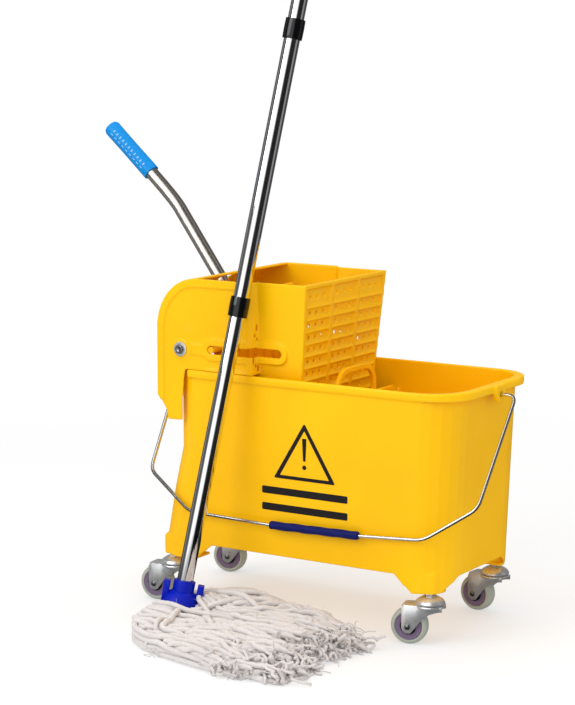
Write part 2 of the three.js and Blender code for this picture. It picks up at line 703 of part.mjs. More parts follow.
function wringerBody() {
  const shell = union(wringerWalls(), wringerHood(), wringerBasket());
  const { left, right, half, low } = LEVER_GAP;
  const leverSlot = box(left, right, -half, half, low, WRINGER_TOP + 5);
  const bore = rod([PIVOT_X, -ACROSS, PIVOT_Z], [PIVOT_X, ACROSS, PIVOT_Z], PIVOT_RADIUS + GAP, 16);
  const bosses = [-1, 1].map((side) => {
    const [from, to] = [side * (CHEEK - 1), side * (CHEEK + 1)];
    return rod([PIVOT_X, from, PIVOT_Z], [PIVOT_X, to, PIVOT_Z], PIVOT_BOSS_RADIUS, 24);
  });
  const leadIns = [-1, 1].map((side) => {
    const out = CHEEK + LEAD_IN.proud;
    const [y0, y1] = side < 0 ? [-out, -CHEEK + 1] : [CHEEK - 1, out];
    return box(LEAD_IN.left, SLOT_LEFT + 2, y0, y1, SLOT_Z - LEAD_IN.below, SLOT_Z + LEAD_IN.above);
  });
  const trimmed = union(
    shell,
    ...[-1, 1].flatMap((side) => [cheekBorder(side), slotBorder(side)]),
    ...bosses,
    ...leadIns,
  );
  return cut(trimmed, leverSlot, grillePockets(), prism(slotOutline(0), "y", -ACROSS, ACROSS), bore);
}

// ---------------------------------------------------------------- wringer fasteners and springs
function pivotBolt(side) {
  const at = (y) => [PIVOT_X, side * y, PIVOT_Z];
  const shaft = rod(at(PIVOT_SHAFT[0]), at(PIVOT_SHAFT[1]), PIVOT_RADIUS, 14);
  const head = rod(at(PIVOT_HEAD.from), at(PIVOT_HEAD.to), PIVOT_HEAD.radius, 18, PIVOT_HEAD.end);
  const recess = rod(at(HEX_RECESS.from), at(PIVOT_HEAD.to + 1), HEX_RECESS.radius, 6);
  return cut(shaft.add(head), recess);
}

function ring(inner, outer, from, to, side, sides = 24) {
  const at = (y) => [PIVOT_X, side * y, PIVOT_Z];
  return cut(rod(at(from), at(to), outer, sides), rod(at(from - 1), at(to + 1), inner, 14));
}

function torsionSpring(side) {
  const { radius, wire, turns, inner, length, leg } = SPRING;
  const perTurn = 10;
  const last = turns * perTurn;
  const outer = inner + length + GAP;
  const points = [new THREE.Vector3(PIVOT_X - radius, side * inner, PIVOT_Z - leg)];
  for (let i = 0; i <= last; i += 1) {
    const angle = Math.PI - (2 * Math.PI * i) / perTurn;
    const y = side * (inner + (length * i) / last);
    points.push(new THREE.Vector3(PIVOT_X + radius * Math.cos(angle), y, PIVOT_Z + radius * Math.sin(angle)));
  }
  points.push(new THREE.Vector3(PIVOT_X - radius, side * outer, PIVOT_Z + leg));
  return tube(points, wire, 6, 30);
}

// ---------------------------------------------------------------- lever
const inPlane = ([x, z], y = 0) => new THREE.Vector3(x, y, z);
const between = ([ax, az], [bx, bz], t) => [ax + (bx - ax) * t, az + (bz - az) * t];
const LEVER_SCREW_AT = between(LEVER_FOOT, LEVER_KNEE_LOW, 0.075);

function leverYoke() {
  const pivot = [PIVOT_X, PIVOT_Z];
  const hubs = [-1, 1].map((side) => {
    const [y0, y1] = side < 0 ? [-HUB_OUTER, -HUB_INNER] : [HUB_INNER, HUB_OUTER];
    return prism(link(pivot, HUB_EYE, CROSSBAR, BAR_EYE), "y", y0, y1);
  });
  const pushers = [-1, 1].map((side) => {
    const { inner, outer, tip } = PUSHERS;
    const [y0, y1] = side < 0 ? [-outer, -inner] : [inner, outer];
    return prism(link(CROSSBAR, BAR_RADIUS, PUSH_TIP, tip), "y", y0, y1);
  });
  const [barX, barZ] = CROSSBAR;
  const bar = rod([barX, -HUB_OUTER, barZ], [barX, HUB_OUTER, barZ], BAR_RADIUS, 16);
  const socketTop = inPlane(between(LEVER_FOOT, LEVER_KNEE_LOW, 0.14));
  const socketLow = inPlane(between(LEVER_FOOT, LEVER_KNEE_LOW, -0.09));
  const socket = rod(socketLow.toArray(), socketTop.toArray(), LEVER_SOCKET_RADIUS, 20);
  const boreLow = inPlane(between(LEVER_FOOT, LEVER_KNEE_LOW, -0.002));
  const boreTop = inPlane(between(LEVER_FOOT, LEVER_KNEE_LOW, 0.2));
  const bore = rod(boreLow.toArray(), boreTop.toArray(), TUBE_RADIUS + GAP, 20);
  const pivotHole = rod([PIVOT_X, -110, PIVOT_Z], [PIVOT_X, 110, PIVOT_Z], PIVOT_RADIUS + GAP, 14);
  return cut(union(bar, ...hubs, ...pushers, socket), bore, pivotHole, leverScrewHole());
}

function leverScrewHole() {
  const [x, z] = LEVER_SCREW_AT;
  return rod([x, -20, z], [x, 20, z], LEVER_SCREW.radius + GAP, 12);
}

function leverScrew() {
  const [x, z] = LEVER_SCREW_AT;
  const { radius, head, out, under } = LEVER_SCREW;
  const shaft = rod([x, -out + 0.6, z], [x, under + 0.7, z], radius, 12);
  return union(shaft, rod([x, -out, z], [x, -under, z], head, 14), rod([x, under, z], [x, out, z], head, 6));
}

function leverTube() {
  const gripEnd = between(LEVER_KNEE_HIGH, LEVER_TIP, 0.95);
  const bend = [
    LEVER_FOOT,
    between(LEVER_FOOT, LEVER_KNEE_LOW, 0.5),
    LEVER_KNEE_LOW,
    [-284.2, 577.6],
    LEVER_KNEE_HIGH,
    gripEnd,
  ];
  const line = bend.map((point) => inPlane(point));
  const outside = tube(line, TUBE_RADIUS, 16, 16);
  // the bore runs out through both ends
  const long = [inPlane(between(LEVER_FOOT, LEVER_KNEE_LOW, -0.02)), ...line.slice(1, -1)];
  long.push(inPlane(between(LEVER_KNEE_HIGH, LEVER_TIP, 1)));
  return cut(outside, tube(long, TUBE_RADIUS - TUBE_WALL, 10, 14), leverScrewHole());
}

function leverGrip() {
  const start = inPlane(between(LEVER_KNEE_HIGH, LEVER_TIP, -0.02));
  const end = inPlane(LEVER_TIP);
  const length = start.distanceTo(end);
  const r = LEVER_GRIP_RADIUS;
  const bore = TUBE_RADIUS + GAP + 0.2;
  const depth = length * 0.955;
  const profile = [
    [0, length],
    [r - 5, length],
    [r - 1.5, length - 1.8],
    [r, length - 5.5],
    [r - 0.4, length / 2],
    [r, 6],
    [r, 1],
    [r - 0.8, 0],
    [bore, 0],
    [bore, depth],
    [0, depth],
  ];
  const grip = toGeometry(turned(profile, 20));
  const along = end.clone().sub(start).normalize();
  grip.applyQuaternion(new THREE.Quaternion().setFromUnitVectors(new THREE.Vector3(0, 0, 1), along));
  grip.translate(start.x, start.y, start.z);
  return toSolid(grip);
}

// ---------------------------------------------------------------- press plate
function pressPlate() {
  const front = PLATE_BACK + PLATE_THICK;
  const half = [
    [PLATE_HALF - PLATE_TAPER.by, PLATE_LOW],
    [PLATE_HALF, PLATE_TAPER.upTo],
    [PLATE_HALF, PLATE_HIGH - PLATE_CORNER.down],
    [PLATE_HALF - PLATE_CORNER.in, PLATE_HIGH],
  ];
  const outline = [...half, ...half.map(([y, z]) => [-y, z]).reverse()];
  const plate = prism(outline, "x", PLATE_BACK, front);
  const ribs = [];
  for (let i = -PLATE_RIBS.eachSide; i <= PLATE_RIBS.eachSide; i += 1) {
    const { pitch, thick, proud } = PLATE_RIBS;
    const [y0, y1] = [i * pitch - thick / 2, i * pitch + thick / 2];
    ribs.push(box(front - 1, front + proud, y0, y1, PLATE_LOW + 6, PLATE_HIGH - 8));
  }
  const bearers = BEARERS.at.map((y) => {
    const { half: wide, back, height } = BEARERS;
    const [z0, z1] = [SLOT_Z - height / 2, SLOT_Z + height / 2];
    return box(ROD_X - back, PLATE_BACK + 1, y - wide, y + wide, z0, z1);
  });
  const rodHole = rod([ROD_X, -60, SLOT_Z], [ROD_X, 60, SLOT_Z], ROD_RADIUS + GAP, 14);
  return cut(union(plate, ...ribs, ...bearers), rodHole);
}

function guideRod() {
  const end = CHEEK + 2.2;
  return rod([ROD_X, -end, SLOT_Z], [ROD_X, end, SLOT_Z], ROD_RADIUS, 16);
}

// ---------------------------------------------------------------- bail
function onBail([x, reach]) {
  const y = -reach * Math.sin(BAIL_ANGLE);
  return new THREE.Vector3(x, y, BAIL_PIVOT_Z - reach * Math.cos(BAIL_ANGLE));
}

function bailWire() {
  return tube(softened(BAIL_PATH.map(onBail), 12), BAIL_WIRE, 8, 66);
}

function bailGrip() {
  const [right, left] = BAIL_GRIP_ENDS.map(onBail);
  const solid = rod(right.toArray(), left.toArray(), BAIL_GRIP_RADIUS, 18);
  const out = left.clone().sub(right).normalize().multiplyScalar(5);
  const from = right.clone().sub(out);
  const to = left.clone().add(out);
  return cut(solid, rod(from.toArray(), to.toArray(), BAIL_WIRE + 0.5, 14));
}

// ---------------------------------------------------------------- casters
function casterStem() {
  const profile = [
    [0, 47.6],
    [7.5, 47.6],
    [7.5, 50.2],
    [5, 50.2],
    [5, 55.6],
    [19, 55.6],
    [RACE_RADIUS, 57.5],
    [18.2, 61.5],
    [13, 65],
    [8, 66.4],
    [STEM_RADIUS, 66.4],
    [STEM_RADIUS, 92],
    [0, 92],
  ];
  return turned(profile, 14).add(rod([0, 0, 66], [0, 0, 70.5], 8.6, 6));
}

function casterFork() {
  const profile = [
    [5.3, 50.9],
    [RACE_RADIUS - 1, 50.9],
    [RACE_RADIUS, 52.2],
    [RACE_RADIUS, 55],
    [5.3, 55],
  ];
  const race = turned(profile, 16);
  const crownHalf = FORK_INNER + FORK_SHEET;
  const plate = box(FORK_REAR, 6, -crownHalf, crownHalf, CROWN_LOW, CROWN_TOP);
  const crown = cut(plate, rod([0, 0, CROWN_LOW - 1], [0, 0, CROWN_TOP + 1], 5.3, 16));
  // straight down behind, round the axle, then slanting up to the race
  const legOutline = [[FORK_REAR, CROWN_TOP], [FORK_REAR, WHEEL_RADIUS - 1]];
  for (let i = 1; i <= 6; i += 1) {
    const angle = Math.PI + (0.8 * Math.PI * i) / 6;
    legOutline.push([
      -TRAIL + LEG_END_RADIUS * Math.cos(angle),
      WHEEL_RADIUS - 1 + LEG_END_RADIUS * Math.sin(angle),
    ]);
  }
  legOutline.push([-9, 35], [2, 43.6], [13, 47.4], [13, CROWN_TOP]);
  const legs = [-1, 1].map((side) => {
    const faces = [side * FORK_INNER, side * (FORK_INNER + FORK_SHEET)];
    return prism(legOutline, "y", Math.min(...faces), Math.max(...faces));
  });
  const bore = rod([-TRAIL, -20, WHEEL_RADIUS], [-TRAIL, 20, WHEEL_RADIUS], AXLE_RADIUS + GAP, 12);
  return cut(union(race, crown, ...legs), bore);
}

function casterAxle() {
  const at = (y) => [-TRAIL, y, WHEEL_RADIUS];
  const out = FORK_INNER + FORK_SHEET + GAP;
  return union(
    rod(at(-out - 2), at(out + 2), AXLE_RADIUS, 12),
    rod(at(-out - 3.2), at(-out), 5.6, 14),
    rod(at(out), at(out + 3.2), 5.6, 6),
  );
}

function turnedAcross(profile, sides) {
  const geometry = toGeometry(turned(profile, sides));
  geometry.rotateX(Math.PI / 2);
  geometry.translate(-TRAIL, 0, WHEEL_RADIUS);
  return toSolid(geometry);
}

function wheelHub() {
  const half = WHEEL_WIDTH / 2;
  const profile = [
    [3.2, -half - 0.6],
    [6.5, -half - 0.6],
    [7.5, -half + 3],
    [15.5, -half + 3],
    [17.4, -half + 0.4],
    [HUB_RADIUS, -half + 0.4],
    [HUB_RADIUS, half - 0.4],
    [17.4, half - 0.4],
    [15.5, half - 3],
    [7.5, half - 3],
    [6.5, half + 0.6],
    [3.2, half + 0.6],
  ];
  return turnedAcross(profile, 16);
}

function wheelTyre() {
  const half = WHEEL_WIDTH / 2;
  const inner = HUB_RADIUS + GAP;
  const profile = [
    [inner, -half + 0.4],
    [WHEEL_RADIUS - 3, -half + 0.6],
    [WHEEL_RADIUS - 0.8, -half + 3],
    [WHEEL_RADIUS, -half + 6],
    [WHEEL_RADIUS, half - 6],
    [WHEEL_RADIUS - 0.8, half - 3],
    [WHEEL_RADIUS - 3, half - 0.6],
    [inner, half - 0.4],
  ];
  return turnedAcross(profile, 24);
}

// ---------------------------------------------------------------- mop
const poleAxis = POLE_LEAN_POINT.clone().sub(SOCKET_MOUTH).normalize();
const onPole = (distance) => SOCKET_MOUTH.clone().addScaledVector(poleAxis, distance);

function turnedOnPole(profile, sides, start) {
  const geometry = toGeometry(turned(profile, sides));
  geometry.applyQuaternion(new THREE.Quaternion().setFromUnitVectors(new THREE.Vector3(0, 0, 1), poleAxis));
  const place = onPole(start);
  geometry.translate(place.x, place.y, place.z);
  return toSolid(geometry);
}

function poleSection(from, to) {
  const solid = rod(onPole(from).toArray(), onPole(to).toArray(), POLE_RADIUS, 20);
  const bore = rod(onPole(from - 1).toArray(), onPole(to + 1).toArray(), POLE_RADIUS - TUBE_WALL, 14);
  return cut(solid, bore);
}

function coupler(at) {
  const inner = POLE_RADIUS + GAP;
  const profile = [
    [inner, 0],
    [COUPLER_RADIUS - 0.8, 0],
    [COUPLER_RADIUS, 1],
    [COUPLER_RADIUS, COUPLER_LENGTH - 1],
    [COUPLER_RADIUS - 0.8, COUPLER_LENGTH],
    [inner, COUPLER_LENGTH],
  ];
  return turnedOnPole(profile, 20, at - COUPLER_LENGTH / 2);
}

function poleCap(at) {
  const inner = POLE_RADIUS + GAP;
  const profile = [
    [inner, CAP_LOW],
    [CAP_RADIUS, CAP_LOW],
    [CAP_RADIUS, 4],
    [CAP_RADIUS - 3, 9],
    [CAP_NECK, 13],
    [CAP_NECK, CAP_LENGTH - 3],
    [CAP_NECK - 2, CAP_LENGTH],
    [0, CAP_LENGTH],
    [0, GAP],
    [inner, GAP],
  ];
  const { x, y, z } = onPole(at + CAP_LENGTH - HANGING_HOLE.belowTop);
  const hole = rod([x - 15, y, z], [x + 15, y, z], HANGING_HOLE.radius, 12);
  return cut(turnedOnPole(profile, 18, at), hole);
}

// clamp that holds the yarn: a collar, a shoulder with two upright wings, and a flared skirt
function mopSocket() {
  const bore = POLE_RADIUS + GAP;
  const profile = [
    [bore, 0],
    [COLLAR_RADIUS, 0],
    [COLLAR_RADIUS, -16],
    [18.5, -17],
    [24, -25],
    [28, -37],
    [SKIRT_RADIUS, SKIRT_END],
    [SKIRT_RADIUS - 2.5, SKIRT_END],
    [12, -34],
    [0, -34],
    [0, -POLE_IN_SOCKET - GAP],
    [bore, -POLE_IN_SOCKET - GAP],
  ];
  const body = turnedOnPole(profile, 20, 0);
  const wings = [-1, 1].map((side) => {
    const [low, high] = WING_SPAN;
    const wing = new THREE.BoxGeometry(high - low, WING_WIDTH, WING_HEIGHT);
    wing.translate((side * (high + low)) / 2, 0, WING_TOP - WING_HEIGHT / 2);
    wing.rotateZ(WING_HEADING);
    wing.applyQuaternion(new THREE.Quaternion().setFromUnitVectors(new THREE.Vector3(0, 0, 1), poleAxis));
    wing.translate(SOCKET_MOUTH.x, SOCKET_MOUTH.y, SOCKET_MOUTH.z);
    return toSolid(wing);
  });
  return union(body, ...wings);
}

// the heap of yarn as one plain body, hollowed for the socket
function mopYarn() {
  const footprint = new THREE.CatmullRomCurve3(
    YARN_OUTLINE.map(([x, y]) => new THREE.Vector3(x, y, 0)),
    true,
    "centripetal",
  ).getPoints(36).slice(0, -1);
  const middle = new THREE.Vector3(...YARN_MIDDLE, 0);
  const heap = loft(YARN_LEVELS.map(([z, scale]) => ({
    z,
    outline: footprint.map((point) => {
      const p = middle.clone().lerp(point, scale);
      return [p.x, p.y];
    }),
  })));
  return cut(heap, turnedOnPole(YARN_ROOM, 16, 0));
}

// ---------------------------------------------------------------- assembly
const assembly = new THREE.Group();

function place(name, solid, material, group = assembly) {
  const mesh = new THREE.Mesh(toGeometry(solid), material);
  mesh.name = name;
  group.add(mesh);
}

function placeBucket() {
  place("bucket_body", bucketBody(), yellow);
  place("dirt_baffle", baffle(), orangeYellow);
}

function placeWringer() {
  place("wringer_body", wringerBody(), yellow);
  for (const [end, side] of [["front", -1], ["back", 1]]) {
    place(`pivot_bolt_${end}`, pivotBolt(side), steel);
    place(`pivot_washer_${end}`, ring(4 + GAP, 10.2, 120.3, 121.9, side), steel);
    place(`pivot_nut_${end}`, ring(4 + GAP, 7.2, 94, 99.4, side, 6), zinc);
    place(`return_spring_${end}`, torsionSpring(side), springSteel);
  }
  place("press_plate", pressPlate(), orangeYellow);
  place("guide_rod", guideRod(), orangeYellow);
}

function placeLever() {
  place("lever_yoke", leverYoke(), orangeYellow);
  place("lever_tube", leverTube(), chrome);
  place("lever_screw", leverScrew(), zinc);
  place("lever_grip", leverGrip(), brightBlue);
}

function placeBail() {
  place("bail_wire", bailWire(), zinc);
  place("bail_grip", bailGrip(), navy);
}

function placeCasters() {
  for (const { place: corner, x, y, heading } of CASTERS) {
    const caster = new THREE.Group();
    caster.position.set(x, y, 0);
    caster.rotation.z = THREE.MathUtils.degToRad(heading);
    assembly.add(caster);
    place(`caster_stem_${corner}`, casterStem(), zinc, caster);
    place(`caster_fork_${corner}`, casterFork(), zinc, caster);
    place(`caster_axle_${corner}`, casterAxle(), steel, caster);
    place(`wheel_hub_${corner}`, wheelHub(), hubMauve, caster);
    place(`wheel_tyre_${corner}`, wheelTyre(), tyreGrey, caster);
  }
}

function placeMop() {
  const joints = [SECTION, 2 * SECTION];
  const top = 3 * SECTION;
  place("mop_socket", mopSocket(), royalBlue);
  place("mop_yarn", mopYarn(), cotton);
  place("pole_lower", poleSection(-POLE_IN_SOCKET, joints[0] - GAP / 2), chrome);
  place("pole_middle", poleSection(joints[0] + GAP / 2, joints[1] - GAP / 2), chrome);
  place("pole_upper", poleSection(joints[1] + GAP / 2, top), chrome);
  place("coupler_lower", coupler(joints[0]), blackPlastic);
  place("coupler_upper", coupler(joints[1]), blackPlastic);
  place("pole_cap", poleCap(top), blackPlastic);
}

placeBucket();
placeWringer();
placeLever();
placeBail();
placeCasters();
placeMop();

const bounds = new THREE.Box3().setFromObject(assembly, true);
const middle = bounds.getCenter(new THREE.Vector3());
assembly.position.set(-middle.x, -middle.y, -bounds.min.z);

const object = new THREE.Group();
object.add(assembly);

export default object;
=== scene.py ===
"""Mop bucket with a lever wringer, and the string mop that leans on it."""
import math

import bmesh
import bpy
import numpy as np
from mathutils import Matrix, Vector


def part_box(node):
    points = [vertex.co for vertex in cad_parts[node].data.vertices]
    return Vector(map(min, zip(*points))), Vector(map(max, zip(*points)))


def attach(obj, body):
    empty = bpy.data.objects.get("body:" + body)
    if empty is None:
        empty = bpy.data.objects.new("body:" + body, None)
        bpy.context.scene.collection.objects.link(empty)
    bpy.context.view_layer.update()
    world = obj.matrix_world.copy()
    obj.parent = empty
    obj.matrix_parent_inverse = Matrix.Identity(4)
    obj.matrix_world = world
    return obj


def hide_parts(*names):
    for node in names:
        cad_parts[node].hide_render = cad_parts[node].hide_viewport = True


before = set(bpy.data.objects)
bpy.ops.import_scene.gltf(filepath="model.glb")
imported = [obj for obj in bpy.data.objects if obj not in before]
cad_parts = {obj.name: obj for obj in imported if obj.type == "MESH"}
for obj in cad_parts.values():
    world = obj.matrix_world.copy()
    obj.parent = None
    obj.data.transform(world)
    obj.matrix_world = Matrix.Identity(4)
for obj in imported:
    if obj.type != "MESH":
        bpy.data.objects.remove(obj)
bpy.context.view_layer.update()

MM = 0.001
CORNERS = ("front_right", "back_right", "back_left", "front_left")
SIDES = {"front": -1, "back": 1}


# ---------------------------------------------------------------- places taken from the frame
def middle(node):
    low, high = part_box(node)
    return (low + high) / 2


# the drawing's origin is on the floor, BUCKET_LEFT from the bucket's left end
BUCKET_LEFT = 240
BUCKET_LOW, BUCKET_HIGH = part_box("bucket_body")
HOME = Vector((BUCKET_LOW.x + BUCKET_LEFT * MM, (BUCKET_LOW.y + BUCKET_HIGH.y) / 2, 0))
DRAWING = Matrix.Translation(HOME) @ Matrix.Scale(MM, 4)


def at(x, y, z):
    """A point of the bucket's drawing, in millimetres, as a place in metres."""
    return DRAWING @ Vector((x, y, z))


def along(start, direction):
    """Takes millimetres to metres, with local Z running from start along direction."""
    turn = Vector(direction).to_track_quat("Z", "Y").to_matrix().to_4x4()
    return Matrix.Translation(start) @ turn @ Matrix.Scale(MM, 4)


# ---------------------------------------------------------------- camera, floor and light
CAMERA_AZIMUTH = math.radians(32.3)
CAMERA_ELEVATION = math.radians(8.8)
CAMERA_DISTANCE = 3.066
CAMERA_LENS = 111.65
CAMERA_TARGET = at(-76.3, 0, 355.5)


def add_camera():
    level = math.cos(CAMERA_ELEVATION)
    east, north = math.sin(CAMERA_AZIMUTH) * level, -math.cos(CAMERA_AZIMUTH) * level
    back = Vector((east, north, math.sin(CAMERA_ELEVATION)))
    data = bpy.data.cameras.new("camera")
    data.sensor_width = 36
    data.lens = CAMERA_LENS
    camera = bpy.data.objects.new("camera", data)
    camera.location = CAMERA_TARGET + back * CAMERA_DISTANCE
    camera.rotation_euler = (-back).to_track_quat("-Z", "Y").to_euler()
    bpy.context.scene.collection.objects.link(camera)
    bpy.context.scene.camera = camera


# ---------------------------------------------------------------- material nodes
def add_node(tree, kind, inputs=(), **settings):
    """A shader node with its settings; an input is a number, a colour or another node's output."""
    made = tree.nodes.new("ShaderNode" + kind)
    for name, value in settings.items():
        setattr(made, name, value)
    for name, value in dict(inputs).items():
        if isinstance(value, bpy.types.NodeSocket):
            tree.links.new(value, made.inputs[name])
        else:
            made.inputs[name].default_value = value
    return made


def new_material(name, roughness, **constants):
    """A material, its node tree and its shader, with constants set on the shader's own sockets."""
    material = bpy.data.materials.new(name)
    material.use_nodes = True
    tree = material.node_tree
    shader = tree.nodes["Principled BSDF"]
    shader.inputs["Roughness"].default_value = roughness
    for socket, value in constants.items():
        shader.inputs[socket.replace("_", " ")].default_value = value
    return material, tree, shader


def object_place(tree, scale=(1, 1, 1), turn=(0, 0, 0)):
    """The surface's place in metres, which moves with the piece, stretched by scale."""
    place = add_node(tree, "TexCoord")
    mapping = add_node(tree, "Mapping", {"Vector": place.outputs["Object"]})
    mapping.inputs["Scale"].default_value = scale
    mapping.inputs["Rotation"].default_value = turn
    return mapping.outputs["Vector"]


def noise(tree, place, scale, detail=3.0, roughness=0.5):
    inputs = {"Vector": place, "Scale": scale, "Detail": detail, "Roughness": roughness}
    return add_node(tree, "TexNoise", inputs).outputs["Fac"]


def spread(tree, value, low, high, to_low=0.0, to_high=1.0):
    """Maps low..high of a value to to_low..to_high, held at both ends."""
    inputs = {"Value": value, "From Min": low, "From Max": high, "To Min": to_low, "To Max": to_high}
    return add_node(tree, "MapRange", inputs).outputs["Result"]


def blended(tree, share, first, second):
    """A colour between two, by a share from 0 to 1."""
    mix = add_node(tree, "Mix", data_type="RGBA")
    for name, value in (("Factor", share), ("A", first), ("B", second)):
        sockets = [s for s in mix.inputs if s.name == name and s.enabled]
        if isinstance(value, bpy.types.NodeSocket):
            tree.links.new(value, sockets[0])
        else:
            sockets[0].default_value = (*value, 1) if name != "Factor" else value
    return [s for s in mix.outputs if s.enabled][0]


def bumped(tree, height, distance, strength=1.0, under=None):
    inputs = {"Height": height, "Distance": distance, "Strength": strength}
    if under is not None:
        inputs["Normal"] = under
    return add_node(tree, "Bump", inputs).outputs["Normal"]


def toned(colour, factor):
    return tuple(min(1.0, channel * factor) for channel in colour)


def plastic(name, colour, roughness, grain=0.00003, scuffs=0.35, shine=0.2):
    """Moulded plastic: slow drift of tone, fine grain, and scuffs that dull it and lighten it."""
    material, tree, shader = new_material(name, roughness, Specular_IOR_Level=shine)
    place = object_place(tree)
    drift = spread(tree, noise(tree, place, 7, 2), 0.3, 0.7)
    base = blended(tree, drift, toned(colour, 0.93), toned(colour, 1.04))
    streaks = noise(tree, object_place(tree, (90, 240, 14), (0.3, 0.2, 0.9)), 3.2, 4, 0.62)
    patches = spread(tree, noise(tree, place, 16, 3), 0.5, 0.72)
    scratch = add_node(tree, "Math", {0: spread(tree, streaks, 0.6, 0.74), 1: patches}, operation="MULTIPLY")
    worn = add_node(tree, "Math", {0: scratch.outputs[0], 1: scuffs}, operation="MULTIPLY").outputs[0]
    pale = tuple(channel * 0.75 + 0.22 for channel in colour)
    tree.links.new(blended(tree, worn, base, pale), shader.inputs["Base Color"])
    mottled = spread(tree, noise(tree, place, 60, 4), 0.25, 0.75, roughness - 0.05, roughness + 0.07)
    dulled = add_node(tree, "Math", {0: worn, 1: 0.25, 2: mottled}, operation="MULTIPLY_ADD").outputs[0]
    tree.links.new(dulled, shader.inputs["Roughness"])
    skin = bumped(tree, noise(tree, place, 900, 2), grain)
    ripple = bumped(tree, noise(tree, place, 34, 1), 0.00035, 0.5, skin)
    tree.links.new(ripple, shader.inputs["Normal"])
    return material


def metal(name, colour, roughness, stretch=(60, 60, 4)):
    """Plated metal: fine drawing lines along the piece and faint finger smears."""
    material, tree, shader = new_material(name, roughness, Metallic=1.0)
    lines = noise(tree, object_place(tree, stretch), 14, 3, 0.6)
    smears = spread(tree, noise(tree, object_place(tree), 38, 4, 0.6), 0.42, 0.7, 0, 0.06)
    rough = spread(tree, lines, 0.25, 0.75, max(0.02, roughness - 0.03), roughness + 0.04)
    total = add_node(tree, "Math", {0: rough, 1: smears}, operation="ADD").outputs[0]
    tree.links.new(total, shader.inputs["Roughness"])
    shade = spread(tree, noise(tree, object_place(tree), 22, 3), 0.3, 0.7)
    base = blended(tree, shade, toned(colour, 0.94), colour)
    tree.links.new(base, shader.inputs["Base Color"])
    tree.links.new(bumped(tree, lines, 0.00001, 0.4), shader.inputs["Normal"])
    return material


def zinc_plate(name, colour, roughness):
    """Bright zinc: a cloudy spangle under a satin surface."""
    material, tree, shader = new_material(name, roughness, Metallic=0.8)
    cells = add_node(tree, "TexVoronoi", {"Vector": object_place(tree), "Scale": 160.0})
    cloud = spread(tree, cells.outputs["Distance"], 0, 0.9)
    tree.links.new(blended(tree, cloud, toned(colour, 0.95), colour), shader.inputs["Base Color"])
    dull = spread(tree, noise(tree, object_place(tree), 90, 3), 0.3, 0.7, roughness - 0.05, roughness + 0.07)
    tree.links.new(dull, shader.inputs["Roughness"])
    tree.links.new(bumped(tree, noise(tree, object_place(tree), 300, 1), 0.000008), shader.inputs["Normal"])
    return material


def rubber(name, colour, roughness):
    """Moulded rubber: dull, finely grained, with dust in the low spots."""
    material, tree, shader = new_material(name, roughness)
    place = object_place(tree)
    dust = spread(tree, noise(tree, place, 70, 5, 0.65), 0.45, 0.8)
    grey = tuple(channel * 0.6 + 0.16 for channel in colour)
    tree.links.new(blended(tree, dust, colour, grey), shader.inputs["Base Color"])
    rough = spread(tree, dust, 0, 1, roughness, roughness + 0.15)
    tree.links.new(rough, shader.inputs["Roughness"])
    tree.links.new(bumped(tree, noise(tree, place, 700, 4), 0.00006), shader.inputs["Normal"])
    return material


def cotton_yarn(name, colour):
    """Spun cotton: each strand its own off-white, with painted shade in dark streaks between fibres that
    follow the twist.
    """
    material, tree, shader = new_material(name, 0.95, Sheen_Weight=0.35, Sheen_Roughness=0.5)
    shader.inputs["Specular IOR Level"].default_value = 0.2
    strand = add_node(tree, "NewGeometry").outputs["Random Per Island"]
    warm = blended(tree, strand, toned(colour, 0.9), colour)
    place = object_place(tree)
    soil = spread(tree, noise(tree, place, 26, 4, 0.6), 0.52, 0.78, 0, 0.45)
    dirty = blended(tree, soil, warm, (0.6, 0.5, 0.42))
    fibre_place = add_node(tree, "Mapping", {"Vector": add_node(tree, "TexCoord").outputs["UV"]})
    fibre_place.inputs["Scale"].default_value = (0.06, 2.2, 1)
    fibre_place.inputs["Rotation"].default_value = (0, 0, 0.1)
    fibres = noise(tree, fibre_place.outputs["Vector"], 5, 4, 0.7)
    # painted shade: the fibre streaks pull the colour down to 0.76 of it, standing in for shade between
    # fibres
    shade = spread(tree, fibres, 0.25, 0.75)
    tree.links.new(blended(tree, shade, toned(colour, 0.76), dirty), shader.inputs["Base Color"])
    fuzz = bumped(tree, noise(tree, place, 1600, 3), 0.0002, 0.6)
    tree.links.new(bumped(tree, fibres, 0.0006, 0.8, fuzz), shader.inputs["Normal"])
    return material


YELLOW = (1.0, 0.53, 0.0)
TUB_YELLOW = plastic("tub_yellow", YELLOW, 0.36)
WRINGER_YELLOW = plastic("wringer_yellow", YELLOW, 0.36)
BAFFLE_YELLOW = plastic("baffle_yellow", (1.0, 0.5, 0.0), 0.4)
PRESS_YELLOW = plastic("press_yellow", (0.98, 0.48, 0.0), 0.42)
CHROME = metal("chrome", (0.86, 0.86, 0.87), 0.05)
LEVER_CHROME = metal("lever_chrome", (0.9, 0.83, 0.76), 0.26, (8, 60, 8))
ZINC = zinc_plate("zinc", (0.88, 0.89, 0.9), 0.3)
STEEL = metal("steel", (0.3, 0.31, 0.33), 0.3, (40, 40, 40))
WIRE = metal("wire", (0.72, 0.72, 0.72), 0.2, (30, 30, 30))
GRIP_BLUE = plastic("grip_blue", (0.0, 0.245, 0.66), 0.36, 0.00001, 0.12)
